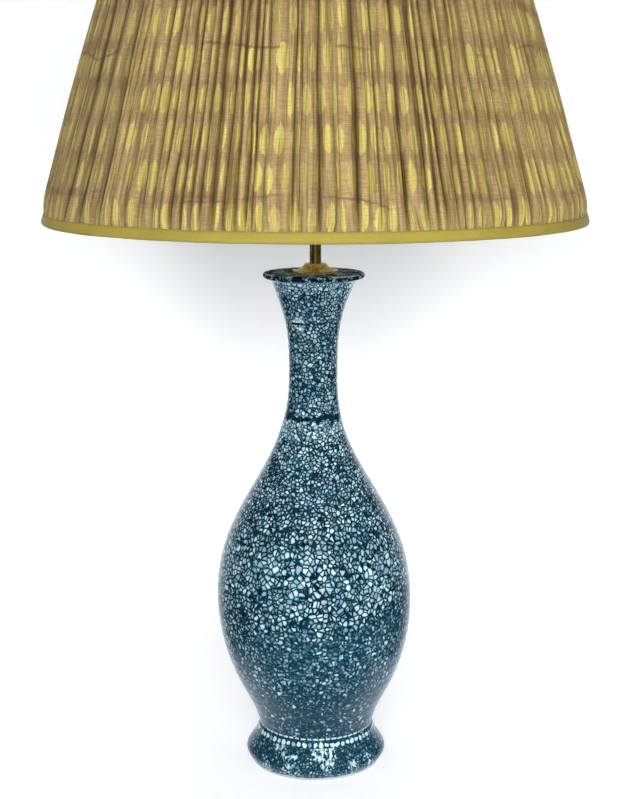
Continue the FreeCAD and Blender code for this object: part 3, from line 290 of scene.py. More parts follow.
    def mix(self, share, first, second):
        """One colour turning into another."""
        inputs = {0: share, 6: first, 7: second}
        return self.node("ShaderNodeMix", inputs, data_type="RGBA").outputs[2]

    def stained(self, colour, share, most, stain):
        """The colour, with up to so much of a stain where the share is 1."""
        return self.mix(self.times(share, most), colour, stain)

    def bump(self, height, distance, strength=1.0):
        """A surface normal from a height; the distance is the height's scale in metres."""
        inputs = {"Height": height, "Distance": distance, "Strength": strength}
        return self.node("ShaderNodeBump", inputs).outputs[0]

    def surface(self, **inputs):
        """The Principled shader, with underscores in place of spaces in its inputs' names."""
        named = {key.replace("_", " "): value for key, value in inputs.items()}
        return self.ending(self.node("ShaderNodeBsdfPrincipled", named))

    def ending(self, shader, kind="ShaderNodeOutputMaterial"):
        """Leads the shader to the output and gives back the finished material."""
        self.node(kind, {0: shader.outputs[0]})
        return self.owner


# Mesh building


def smooth_curve(stations, count):
    """A smooth curve through the stations: the natural cubic spline over the length of the chords,
    whose second derivatives solve one linear system, read at evenly spaced places."""
    stations = np.array(stations, float)
    steps = np.hypot(*np.diff(stations, axis=0).T)
    knots = np.concatenate(([0], np.cumsum(steps)))
    size = len(stations)
    system = np.eye(size)
    right = np.zeros((size, 2))
    inner = np.arange(1, size - 1)
    system[inner, inner - 1] = steps[:-1]
    system[inner, inner] = 2 * (steps[:-1] + steps[1:])
    system[inner, inner + 1] = steps[1:]
    slopes = np.diff(stations, axis=0) / steps[:, None]
    right[inner] = 6 * np.diff(slopes, axis=0)
    curvature = np.linalg.solve(system, right)
    places = np.linspace(0, knots[-1], count)
    index = np.clip(np.searchsorted(knots, places, side="right") - 1, 0, size - 2)
    width = steps[index][:, None]
    before = (places - knots[index])[:, None]
    after = width - before
    return (
        (curvature[index] * after**3 + curvature[index + 1] * before**3) / (6 * width)
        + (stations[index] / width - curvature[index] * width / 6) * after
        + (stations[index + 1] / width - curvature[index + 1] * width / 6) * before
    )


def eased(corners, radius, steps=4):
    """A profile whose inner corners are rounded: each is cut back by the radius, or by a third of
    its shorter side, and bridged by the quadratic curve that leaves and arrives along the sides."""
    corners = np.array(corners, float)
    share = np.linspace(0, 1, steps)[:, None]
    made = [corners[:1]]
    for last, corner, following in zip(corners, corners[1:], corners[2:]):
        before, after = last - corner, following - corner
        sides = np.hypot(*before), np.hypot(*after)
        cut = min(radius, sides[0] / 3, sides[1] / 3)
        start = corner + before / sides[0] * cut
        end = corner + after / sides[1] * cut
        made.append((1 - share) ** 2 * start + 2 * share * (1 - share) * corner + share**2 * end)
    return np.concatenate([*made, corners[-1:]])


def divided(profile, step):
    """The profile with more points on its long straight runs."""
    made = []
    for start, end in zip(profile, profile[1:]):
        count = max(1, int(np.hypot(*(end - start)) / step))
        made.append(start + (end - start) * (np.arange(count) / count)[:, None])
    return np.concatenate([*made, profile[-1:]])


def angles(count):
    """The angles of evenly spaced points round the axis."""
    return np.arange(count) * FULL_TURN / count


def carried_round(radius, angle, height):
    """Points carried round the upright axis: the one at angle a is (radius cos a, radius sin a,
    height). The three may be grids, rows or columns of numbers."""
    return np.stack(np.broadcast_arrays(radius * np.cos(angle), radius * np.sin(angle), height), -1)


def flat_places(across, along):
    """The places on a flat cloth: a row of distances round it by a column of distances up it."""
    return np.stack(np.broadcast_arrays(across[None, :], along[:, None]), -1)


def grid_faces(rows, columns, closed_rows, closed_columns):
    """Corner indices of the quads of a grid: each joins a point, its right neighbour, the one
    above that and the one above itself, with wrapped neighbours where the grid closes."""
    row = np.arange(rows if closed_rows else rows - 1)[:, None]
    column = np.arange(columns if closed_columns else columns - 1)[None, :]
    above = (row + 1) % rows * columns
    right = (column + 1) % columns
    row = row * columns
    corners = [row + column, row + right, above + right, above + column]
    return np.stack(np.broadcast_arrays(*corners), -1).reshape(-1, 4)


def grid_mesh(name, points, closed_rows=False, closed_columns=False, flat=None, groups=None, flip=False):
    """A mesh from a grid of points in metres, shaped rows by columns by 3. flat, one column wider
    where the grid closes, is each point's place on the flat cloth. groups is a material index for
    each row of faces."""
    rows, columns = points.shape[:2]
    faces = grid_faces(rows, columns, closed_rows, closed_columns)
    order = [0, 3, 2, 1] if flip else [0, 1, 2, 3]
    mesh = bpy.data.meshes.new(name)
    mesh.from_pydata(points.reshape(-1, 3), [], faces[:, order].tolist())
    if flat is not None:
        corners = grid_faces(rows, flat.shape[1], closed_rows, False)[:, order]
        mesh.uv_layers.new(name="cloth").uv.foreach_set("vector", flat.reshape(-1, 2)[corners].ravel())
    if groups is not None:
        across = columns if closed_columns else columns - 1
        mesh.polygons.foreach_set("material_index", np.repeat(groups, across).astype(np.int32))
    mesh.shade_smooth()
    mesh.update()
    made = bpy.data.objects.new(name, mesh)
    bpy.context.scene.collection.objects.link(made)
    return made


def merged(piece, closed=True):
    """Merges the piece's doubled points, and turns the faces of a closed one outwards."""
    work = bmesh.new()
    work.from_mesh(piece.data)
    bmesh.ops.remove_doubles(work, verts=work.verts, dist=1e-6)
    if closed:
        bmesh.ops.dissolve_degenerate(work, edges=work.edges, dist=1e-7)
        bmesh.ops.recalc_face_normals(work, faces=work.faces)
    work.to_mesh(piece.data)
    work.free()
    piece.data.shade_smooth()


def thickened(piece, thickness):
    """Gives a surface its wall, built on the inner side."""
    wall = piece.modifiers.new("thickness", "SOLIDIFY")
    wall.thickness = thickness
    wall.offset = -1


def finished(piece, materials, body, node):
    """Gives a piece its materials and body, and hides the CAD node that it stands for."""
    for material in materials:
        piece.data.materials.append(material)
    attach(piece, body)
    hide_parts(node)


def dress(material, *nodes):
    """Gives carried-over CAD nodes their material."""
    for node in nodes:
        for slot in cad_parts[node].material_slots:
            slot.link = "OBJECT"
            slot.material = material


def ripple(angle, height, seed, waves, reach=1.0):
    """Smooth uneven waviness from -1 to 1: a sum of sines whose whole numbers of turns round the
    axis, and whose phases and lean with height, come from the seed."""
    draw = np.random.default_rng(seed)
    total = 0.0
    for turns in waves:
        phase, lean = draw.uniform(0, FULL_TURN), draw.uniform(-reach, reach)
        total = total + np.sin(turns * angle + phase + lean * height)
    return total / len(waves)


# Vase, in millimetres


VASE_OUTLINE = (
    (59.0, 3.2), (62.2, 9.2), (56.2, 21.2), (50.7, 35.0), (53.3, 44.0), (66.7, 72.0), (80.3, 108.0),
    (85.7, 156.0), (79.0, 198.0), (56.5, 246.0), (33.5, 288.0), (22.9, 324.0), (21.1, 355.0),
    (24.0, 396.0), (36.2, 432.4),
)
# How far the body leans to the left at a height, as it was thrown
SWAY = ((0.0, 0.0), (0.1, 80.0), (1.5, 160.0), (2.3, 260.0), (3.0, 370.0), (1.4, 439.4))
GROOVE = 33.8
NECK_LINE = 316.2
RIM_TOP = 439.4
LIP_ROUND = 2.4
GLAZE_EDGE = 3.2
# The sealed hollow: its wall, and the heights of its floor and ceiling
WALL = 6.0
HOLLOW = (38.0, 432.4)
# The holes for the rod at the top and the bottom, and the underside of the floor
ROD_HOLE = 6.2
FLOOR = 28.0
# The cable outlet's height, and each of its cuts: radius, and where it starts and ends at the back
OUTLET_HEIGHT = 11.0
OUTLET_CUTS = ((4.6, 40.0, 70.0), (7.4, 57.0, 70.0))
VASE_SEGMENTS = 240


def vase_profile():
    """The vase's closed outline: foot ring, skirt, waist, belly, neck, rounded lip and top, then
    through the rod's upper hole, down the inside one wall in from the outside, and out by the
    lower hole. Each face row's group is 0 on glaze, 1 on bare clay and 2 on the rim."""
    foot = [(ROD_HOLE, FLOOR), (42.5, FLOOR), (47.8, 2.2), (50.3, 2.2), (50.3, 0.0), (57.5, 0.0), (57.5, 3.0)]
    foot = divided(eased(foot, 0.9), 4.0)
    skirt = smooth_curve(VASE_OUTLINE[:4], 32)
    body = smooth_curve(VASE_OUTLINE[3:], 212)
    turn = np.linspace(-0.5, 0.5, 14) * math.pi
    lip = np.stack([41.2 + LIP_ROUND * np.cos(turn), 437.0 + LIP_ROUND * np.sin(turn)], -1)
    top = divided(np.array([(38.5, RIM_TOP), (ROD_HOLE, RIM_TOP), (ROD_HOLE, HOLLOW[1])]), 4.0)
    wall = np.array(VASE_OUTLINE[3:]) - (WALL, 0.0)
    wall[[0, -1], 1] = HOLLOW
    floor = divided(np.array([wall[0], (ROD_HOLE, HOLLOW[0]), (ROD_HOLE, FLOOR)]), 4.0)
    inside = np.concatenate([smooth_curve(wall, 60)[::-1], floor[1:-1]])
    rows = ((1, len(foot)), (0, len(skirt) + len(body) - 1), (2, len(lip) + len(top)), (1, len(inside)))
    groups = np.concatenate([np.full(count, kind) for kind, count in rows])
    return np.concatenate([foot, skirt, body[1:], lip, top, inside]), groups


class LAMP_OT_vase(bpy.types.Operator):
    """Throws the vase and gives it its crackle glaze."""

    bl_idname = "lamp.vase"
    bl_label = "Build the vase"

    def execute(self, context):
        glaze = context.scene.lamp_glaze
        profile, groups = vase_profile()
        angle = angles(VASE_SEGMENTS)[None, :]
        radius, height = profile[:, :1], profile[:, 1:]
        outside = ((groups[:, None] == 0) & (height > 4)).astype(float)
        throwing_rings = np.sin(height * FULL_TURN / 8.5 + 1.3 * ripple(angle, height * 0.05, 3, (1, 2)))
        radius = radius + outside * glaze.throwing / MM * throwing_rings
        groove = 0.9 * np.exp(-((height - GROOVE) / 0.9) ** 2)
        radius = radius - outside * groove
        edge = np.exp(-((height - GLAZE_EDGE) / 1.6) ** 2) * (radius > 57.6)
        height = height + 0.45 * edge * ripple(angle, height * 0, 5, (3, 7, 12, 19, 31))
        sway = np.interp(height, *smooth_curve(SWAY, 60).T[::-1]) * np.clip(radius / 20 - 0.4, 0, 1)
        sway = np.where((height > 30) | (radius > 50), sway, 0)
        points = carried_round(radius, angle, height)
        points[..., 0] -= sway
        vase = grid_mesh("vase_glazed", points * MM, closed_rows=True, closed_columns=True, groups=groups)
        merged(vase)
        for cut in OUTLET_CUTS:
            drill(vase, *cut)
        coats = glaze_finish(glaze), clay_finish(glaze), rim_finish(glaze)
        finished(vase, coats, "base", "vase")
        return {"FINISHED"}


def drill(vase, radius, start, end):
    """Cuts a round hole for the cable through the back of the foot: a lathe turned cylinder, laid
    along the depth so that (x, y, z) becomes (x, z, the outlet's height less y)."""
    profile = np.array([(0, start), (radius, start), (radius, end), (0, end)], float) * MM
    points = carried_round(profile[:, :1], angles(64), profile[:, 1:])
    cutter = grid_mesh("cutter", points, closed_columns=True)
    merged(cutter)
    points = np.empty(len(cutter.data.vertices) * 3)
    cutter.data.vertices.foreach_get("co", points)
    x, y, z = points.reshape(-1, 3).T
    cutter.data.vertices.foreach_set("co", np.stack([x, z, OUTLET_HEIGHT * MM - y], -1).ravel())
    cutter.data.update()
    cut = vase.modifiers.new("outlet", "BOOLEAN")
    cut.object = cutter
    cut.operation = "DIFFERENCE"
    bpy.context.view_layer.update()
    drilled = bpy.data.meshes.new_from_object(vase.evaluated_get(bpy.context.evaluated_depsgraph_get()))
    vase.modifiers.clear()
    vase.data = drilled
    bpy.data.objects.remove(cutter)


def skirt_marks(f, place, turned, drift):
    """Marks below the belly. On the skirt, blots are torn out of noise drawn upright, and run
    together at the front, and specks are small cells. Dots of uneven size, each round the middle
    of a cell, are for the belly above it."""
    x, y, z = f.parts(place)
    around = f.times(turned, 54.0)
    run = f.times(f.band(x, -4.0, 18.0, 6.0), f.step(y, 0.0, -10.0), f.step(z, 8.0, 16.0))
    zone = f.minus(f.noise(f.join(around, 3.0, z), 14.0, 1.0), 0.05)
    zone = f.plus(zone, f.times(run, 0.17))
    torn = f.noise(f.join(around, 0.0, f.times(z, 0.7)), 2.6, 2.0, 0.6)
    torn = f.plus(torn, f.times(run, 0.02))
    blots = f.times(f.step(torn, 0.50, 0.55), f.step(zone, 0.53, 0.62))
    small = f.vector_calc("ADD", f.stretch(place, (0.36, 0.36, 0.36)), f.stretch(drift, (0.5, 0.5, 0.5)))
    kind = f.cell_kind(small)[0]
    specks = f.between(f.step(kind, 0.35, 1.0), 0.12, 0.95)
    specks = f.times(f.step(f.cell_edge(small), 0.12, 0.26), specks)
    reach = f.between(kind, 0.22, 0.50)
    dots = f.step(f.cells(small), reach, f.minus(reach, 0.2))
    dots = f.times(dots, f.between(f.step(kind, 0.3, 1.0), 0.12, 0.8))
    return blots, specks, dots


def dash_rows(f, place, turned):
    """The two rows at the waist, dashes above the groove and blobs below it: each row's marks, and
    where the glaze round them is bare. The turn is cut in a whole number of marks, each a rounded
    box with a length of its own: the powers of its distances along and across the row add up to 1
    on its edge."""
    z = f.parts(place)[2]
    waver = f.swing(f.noise(place, 3.4, 1.0), -1.0, 1.0)
    for height, half, count, least, most, ragged, power in (
        (GROOVE + 1.5, 1.0, 58, 0.66, 0.90, 0.2, 4.0),
        (GROOVE - 3.4, 1.9, 66, 0.6, 1.02, 0.8, 2.2),
    ):
        count_off = f.times(turned, count / FULL_TURN)
        number = f.random(f.join(f.calc("FLOOR", count_off), height, 0.0))
        off_middle = f.times(f.unsigned(f.minus(f.calc("FRACT", count_off), 0.5)), 2.0)
        length = f.plus(f.between(number, least, most), f.times(waver, 0.2 * ragged))
        off_row = f.plus(f.minus(z, height), f.times(waver, ragged))
        off_row = f.over(f.unsigned(off_row), half)
        far = f.calc("POWER", f.over(off_middle, length), power)
        far = f.plus(far, f.calc("POWER", off_row, power))
        dash = f.times(f.step(far, 1.15, 0.7), f.between(f.step(number, 0.0, 0.3), 0.5, 1.0))
        yield dash, f.band(z, height - half - 0.7, height + half + 0.7, 0.3)


def kiln_chip(f, place, depth, blot):
    """The small kiln chip on the neck: where its black line is, and where it is white beside it."""
    x, y, z = f.parts(place)
    side = f.times(f.band(x, -20.0, -10.0, 1.0), f.step(y, 0.0, -3.0))
    beside = f.times(f.band(z, 391.5, 403.5, 1.0), f.step(f.noise(place, 4.0, 1.0), 0.40, 0.50))
    beside = f.times(beside, side, f.between(f.step(depth, -0.04, 0.04), 0.45, 1.0))
    return f.times(f.band(f.plus(z, blot), 396.4, 398.8, 0.4), side), beside


def glaze_finish(glaze):
    """Crackle glaze: a net of cells, each with a pale island and some of them broken in smaller
    ones. The cells are larger on the belly and shrink to dots below it; they crowd under the
    neck's dark ring and under the lip, and run as dashes on both sides of the waist groove."""
    f = Finish("crackle_glaze")
    place = f.place()
    x, y, z = f.parts(place)
    turned = f.calc("ARCTAN2", y, x)
    patch = f.swing(f.noise(place, 26.0), -1.0, 1.0)
    blot = f.swing(f.noise(place, 9.0), -1.0, 1.0)
    level = f.plus(z, f.times(patch, 12.0))
    near = f.plus(z, f.times(blot, 2.0))

    # the net, in cells: distances from the height where the belly's cells give way to the neck's
    size = f.span(z, 190.0, 250.0, glaze.belly_island / MM, glaze.neck_island / MM)
    net = f.vector_calc("DIVIDE", f.vector_calc("SUBTRACT", place, (0.0, 0.0, 220.0)), size)
    drift = f.node("ShaderNodeTexNoise", {"Vector": net, "Scale": 0.55, "Detail": 1.5}).outputs[1]
    net = f.vector_calc("ADD", net, f.stretch(drift, (0.9, 0.9, 0.9)))
    share, kind, tint = f.cell_kind(net)
    chips = f.step(f.cell_edge(net, 0.46), 0.02, 0.16)

    # half the width of the cracks, as a part of a cell: how much it changes, and where
    low = f.step(f.minus(level, f.times(x, 0.12)), 158.0, 132.0)
    lowest = f.step(level, 104.0, 66.0)
    crack = f.between(share, 0.065, 0.125)
    for amount, part in (
        (-0.016, patch),
        (-0.010, blot),
        (0.04, f.band(level, 214.0, 290.0, 14.0)),
        (-0.03, f.band(near, 298.0, 313.0, 3.0)),
        (0.024, f.band(z, 320.0, 424.0, 6.0)),
        (-0.02, f.step(near, 424.0, 431.0)),
        (0.022, f.band(level, 140.0, 172.0, 12.0)),
        (0.07, low),
        (0.05, lowest),
        (0.6, f.band(near, NECK_LINE - 1.8, NECK_LINE + 1.6, 1.0)),
    ):
        crack = f.plus(crack, f.times(part, amount))
    depth = f.minus(f.cell_edge(net), crack)

    # the islands: some are broken in chips, and low on the belly few of them are bright
    broken = f.times(f.step(kind, 0.74, 0.76), f.rest(chips))
    pale = f.times(f.step(depth, -0.03, 0.10), f.rest(broken))
    neck = f.band(z, 322.0, 420.0, 4.0)
    bright = f.times(f.between(tint, 0.5, 1.0), f.between(neck, 1.0, 0.72))
    scarce = f.between(f.step(tint, 0.45, 0.95), 0.04, 0.95)
    thinned = f.plus(f.times(low, 0.7), f.times(lowest, 0.3))
    bright = f.plus(bright, f.times(thinned, f.minus(scarce, bright)))
    pale = f.times(pale, bright)

    # other marks, and where they are painted white
    blots, specks, dots = skirt_marks(f, place, turned, drift)
    pale = f.larger(pale, f.times(dots, f.minus(low, f.times(lowest, 0.35))))
    skirt = f.band(z, -5.0, GROOVE - 6.0, 0.6)
    pale = f.plus(f.times(pale, f.rest(skirt)), f.times(skirt, f.larger(blots, specks)))
    painted = blots
    for dash, bare in dash_rows(f, place, turned):
        pale = f.larger(f.times(pale, f.rest(bare)), dash)
        painted = f.larger(painted, dash)
    edge_row = f.times(f.band(z, 5.2, 6.1, 0.3), f.step(f.noise(place, 2.0, 1.0), 0.48, 0.56))
    pale = f.larger(pale, f.times(edge_row, 0.8))
    chip, beside = kiln_chip(f, place, depth, blot)
    pale = f.larger(pale, beside)
    painted = f.larger(painted, beside)

    lit = f.plus(f.times(tint, 0.55), f.times(f.step(depth, 0.03, 0.26), 0.55))
    tone = f.mix(f.larger(lit, f.times(painted, 0.9)), glaze.fleck_shade, glaze.fleck)
    dark = f.mix(f.step(f.noise(place, 15.0, 3.0), 0.35, 0.65), glaze.crack, glaze.crack_light)
    # lighter slate in the cracks low on the belly: partly the glaze, partly a painted reflection of the floor
    dark = f.stained(dark, f.calc("POWER", low, 3.0), 0.7, glaze.slate_and_floor_reflection)
    shards = f.step(f.noise(place, 1.7, 2.0, 0.6), 0.50, 0.66)
    dark = f.stained(dark, shards, f.between(low, 0.25, 0.85), glaze.shard)
    colour = f.mix(f.calc("MINIMUM", pale, 1.0), dark, tone)
    relief = f.plus(f.times(pale, 0.6), f.times(blot, 0.4))
    return f.surface(
        Base_Color=f.mix(chip, colour, paint(6, 12, 16)),
        Roughness=f.between(pale, 0.10, 0.18),
        Normal=f.bump(relief, 0.00016, 0.5),
    )


def rim_finish(glaze):
    """Dry glaze on the rim: dark and mottled, with a few pale flecks on the lip."""
    f = Finish("rim_glaze")
    place = f.place()
    z = f.parts(place)[2]
    cloud = f.plus(f.times(f.noise(place, 9.0), 0.5), f.times(f.noise(place, 2.8, 3.0, 0.6), 0.5))
    lip = f.step(z, 438.8, 437.9)
    chosen = f.step(f.cell_kind(place, 3.2)[0], 0.35, 0.55)
    flecks = f.times(f.step(f.cell_edge(place, 3.2), 0.10, 0.20), chosen, f.between(lip, 0.08, 0.8))
    dark = f.mix(f.step(cloud, 0.45, 0.60), paint(0, 8, 10), glaze.rim)
    dark = f.mix(lip, dark, paint(5, 26, 34))
    return f.surface(
        Base_Color=f.mix(flecks, dark, glaze.fleck_shade),
        Roughness=f.swing(cloud, 0.6, 0.8),
        Specular_IOR_Level=0.08,
        Normal=f.bump(cloud, 0.0004, 0.5),
    )


def clay_finish(glaze):
    """Bare fired clay: pale and matt, with fine grog and soft stains."""
    f = Finish("bare_clay")
    place = f.place()
    grog = f.noise(place, 0.9, 3.0)
    stain = f.noise(place, 9.0)
    return f.surface(
        Base_Color=f.stained(glaze.clay, f.step(stain, 0.4, 0.7), 0.25, paint(200, 203, 200)),
        Roughness=f.swing(grog, 0.55, 0.75),
        Normal=f.bump(grog, 0.0002, 0.4),
    )


# Brass and steel


def metal_finish(name, colour, roughness, stain, lines):
    """Lacquered or plated metal with cloudy handling marks, fine turning lines and tarnish."""
    f = Finish(name)
    place = f.place()
    cloud = f.noise(place, 9.0, 3.0, 0.6)
    scratch = f.drawn_out(place, (0.4, 0.4, 9.0))
    rough = f.swing(cloud, roughness - 0.04, roughness + 0.08)
    return f.surface(
        Base_Color=f.stained(colour, f.step(cloud, 0.42, 0.75), stain, dimmed(colour, 0.45)),
        Metallic=0.9,
        Roughness=f.plus(rough, f.times(scratch, 0.08)),
        Normal=f.bump(scratch, 0.00003, lines),
    )


def stem_finish(metal):
    """Dark antique metal with lighter streaks along the tube: painted reflections, and also wear."""
    f = Finish("aged_stem")
    place = f.place()
    x, y, z = f.parts(place)
    around = f.times(f.calc("ARCTAN2", y, x), 3.6)
    streak = f.noise(f.join(around, 0.0, f.times(z, 0.004)), 1.0)
    return f.surface(
        # lighter streaks along the tube: painted reflections, and also wear
        Base_Color=f.stained(paint(104, 80, 34), f.step(streak, 0.45, 0.62), 0.75, metal.streak_wear_and_reflection),
        Metallic=0.6,
        Roughness=f.swing(f.noise(place, 6.0), 0.24, 0.36),
    )


class LAMP_OT_stem(bpy.types.Operator):
    """Dresses the brass cap, the stem and the clamp under the vase."""

    bl_idname = "lamp.stem"
    bl_label = "Dress the cap and stem"

    def execute(self, context):
        metal = context.scene.lamp_metal
        dress(stem_finish(metal), "stem_rod")
        dress(
            metal_finish("lacquered_brass", metal.brass, 0.2, 0.08, 0.1),
            "vase_cap", "saddle_nut", "base_nut", "holder_cap", "holder_shell", "terminal_screws",
            "screw_shell", "centre_contact", "harp_stud", "washer_ring", "finial",
        )
        dress(
            metal_finish("brass_wire", metal.brass, 0.28, 0.12, 0.03),
            "harp_saddle", "harp_bow", "ferrule_left", "ferrule_right", "spider_arms",
        )
        dress(
            metal_finish("plated_steel", metal.steel, 0.34, 0.3, 0.2),
            "base_washer", "set_screw", "switch_spindle", "bulb_contact", "bulb_cap",
        )
        return {"FINISHED"}


# Rubber, cork, resin, glass and felt


def grained_finish(name, colour, roughness, size, contrast):
    """Rubber, cork, board, moulded resin or enamel: specks of the given size, darker than the colour,
    under soft cloudy wear."""
    f = Finish(name)
    place = f.place()
    grain = f.noise(place, size, 3.0, 0.6)
    cloud = f.noise(place, 8.0)
    dark = dimmed(colour, 1 - contrast)
    shade = f.mix(f.step(grain, 0.55, 0.34), colour, dark)
    return f.surface(
        Base_Color=f.stained(shade, f.step(cloud, 0.45, 0.75), 0.3 * contrast, dark),
        Roughness=f.swing(cloud, roughness - 0.05, roughness + 0.08),
        Normal=f.bump(grain, 0.0002, 0.3),
    )


def glass_finish():
    """Clear bulb glass with a faint film of dust."""
    f = Finish("bulb_glass")
    dust = f.step(f.noise(f.place(), 12.0, 3.0), 0.55, 0.8)
    return f.surface(
        Base_Color=paint(250, 250, 247),
        Roughness=f.between(dust, 0.01, 0.10),
        IOR=1.5,
        Transmission_Weight=1.0,
    )


def felt_finish():
    """Green felt: matted fibres under a nap that is brushed darker in places."""
    f = Finish("green_felt")
    place = f.place()
    fibre = f.noise(place, 0.5, 4.0, 0.7)
    nap = f.noise(place, 6.0)
    colour = f.mix(f.step(fibre, 0.35, 0.65), paint(52, 84, 58), paint(96, 128, 98))
    return f.surface(
        Base_Color=f.stained(colour, f.step(nap, 0.45, 0.7), 0.3, paint(66, 92, 70)),
        Roughness=f.swing(nap, 0.85, 0.95),
        Sheen_Weight=0.4,
        Normal=f.bump(fibre, 0.0004, 0.8),
    )


class LAMP_OT_fittings(bpy.types.Operator):
    """Dresses the cork, rubber, resin, wire and glass parts."""

    bl_idname = "lamp.fittings"
    bl_label = "Dress the other fittings"

    def execute(self, context):
        dress(glass_finish(), "bulb_envelope", "filament_carrier")
        for name, colour, roughness, size, contrast, *nodes in (
            ("bush_rubber", paint(44, 44, 46), 0.6, 0.8, 0.4, "cable_bush"),
            ("cork_sheet", paint(186, 146, 100), 0.85, 1.4, 0.6, "base_seal", "rim_seal"),
            ("waxed_fibre", paint(137, 124, 111), 0.7, 0.7, 0.3, "holder_sleeve"),
            ("switch_resin", paint(40, 34, 32), 0.3, 0.6, 0.3, "switch_block", "switch_knob"),
            ("insulator_glass", paint(30, 30, 46), 0.08, 2.0, 0.3, "bulb_insulator"),
            ("filament_coat", paint(236, 196, 80), 0.5, 0.4, 0.3, "filaments"),
            ("white_wire", paint(233, 230, 222), 0.35, 3.0, 0.12,
             "shade_bottom_ring", "shade_top_ring", "shade_struts"),
        ):
            dress(grained_finish(name, colour, roughness, size, contrast), *nodes)
        return {"FINISHED"}


class LAMP_OT_baize(bpy.types.Operator):
    """Lays the felt disc in the foot: rings round the axis, whose radius and height waver a
    little, with the thickness built up from them."""

    bl_idname = "lamp.baize"
    bl_label = "Lay the baize"

    def execute(self, context):
        low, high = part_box("base_baize")
        reach, thick = high.x, high.z - low.z
        spread = np.linspace(0, 1, 40)[:, None]
        angle = angles(180)[None]
        radius = reach * spread * (1 - 0.003 * spread * (1 + ripple(angle, 0 * spread, 41, (9, 23, 37))))
        lift = 0.0001 * (1 + ripple(angle, spread * 30, 43, (2, 3, 5))) * np.sin(spread * math.pi)
        baize = grid_mesh("baize_disc", carried_round(radius, angle, low.z + lift), closed_columns=True)
        merged(baize, closed=False)
        thickened(baize, thick - 0.0002)
        finished(baize, [felt_finish()], "base", "base_baize")
        return {"FINISHED"}


# Shade, in millimetres


PLEATS = 150
POINTS_PER_PLEAT = 10
CLOTH_ROWS = 30
# The cloth's length round the lower edge, as a multiple of that edge
GATHERING = 1.418
# How far the bottom of the folds lies inside the band's outer face
STACK = 1.3
BAND_DEPTH = 7.5
BAND_CURL = 2.4
BAND_CLOTH = 0.6
# The lining: its thickness, how far it leans in over its height in metres, and how far its top
# edge lies inside the folds
LINING_CLOTH = 0.4
LINING_LEAN = 0.077
LINING_INSET = 5
STRUTS = 12


class ShadeCone:
    """Places of the shade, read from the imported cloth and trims. The top trim is widest at its
    hem, so the radius at the top is found along the cone from there."""

    def __init__(self):
        (cover_low, cover_high), (edge_low, edge_high), (brow_low, brow_high) = (
            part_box(node) for node in ("shade_cover", "bottom_trim", "top_trim")
        )
        self.low, self.high = cover_low.z / MM, cover_high.z / MM
        self.bottom, self.top = edge_low.z / MM, brow_high.z / MM
        self.hem_top, self.hem_bottom = edge_high.z / MM, brow_low.z / MM
        self.bottom_radius = edge_high.x / MM
        turned_in = (self.high - self.hem_bottom) / (self.high - self.low)
        self.top_radius = (brow_high.x / MM - turned_in * self.bottom_radius) / (1 - turned_in)
        self.slope = (self.bottom_radius - self.top_radius) / (self.high - self.low)

    def radius(self, height):
        """Radius at the bottom of the folds at a height."""
        return self.bottom_radius - STACK - self.slope * (height - self.low)


def crease_angles(draw):
    """Angles of the creases, and how flat each fold lies. The widths are drawn unevenly, and a
    stretch on the left, where the cloth is less gathered, has wider and flatter folds."""
    shares = np.clip(np.exp(draw.normal(0.0, 0.40, PLEATS)), 0.5, 2.1)
    place = np.cumsum(shares) / shares.sum() * FULL_TURN
    spread = np.exp(-((place - math.radians(213)) / math.radians(11)) ** 2)
    shares = shares * (1 + 0.8 * spread)
    creases = np.concatenate(([0.0], np.cumsum(shares / shares.sum()))) * FULL_TURN
    return creases, np.clip(0.5 * spread + 0.35 * np.clip(shares - 1.3, 0, 1), 0, 0.7)


def wandering_creases(draw, edges, share, full):
    """The angle of each crease at each share of the height: its own, with three slow sines that
    are drawn for it and are quieter at the hems. The last crease is the first one again."""
    phase = draw.uniform(0, FULL_TURN, (3, PLEATS + 1))
    swing = draw.uniform(0.3, 1.0, (3, PLEATS + 1)) * np.array([[0.11], [0.06], [0.03]])
    phase[:, -1], swing[:, -1] = phase[:, 0], swing[:, 0]
    turns = np.array([0.8, 2.1, 4.3])[:, None, None]
    wander = (swing[:, None] * np.sin(turns * FULL_TURN * share[None, :, None] + phase[:, None])).sum(0)
    return edges[None] + wander * np.diff(edges).mean() * np.clip(full[:, None] + 0.3, 0, 1)


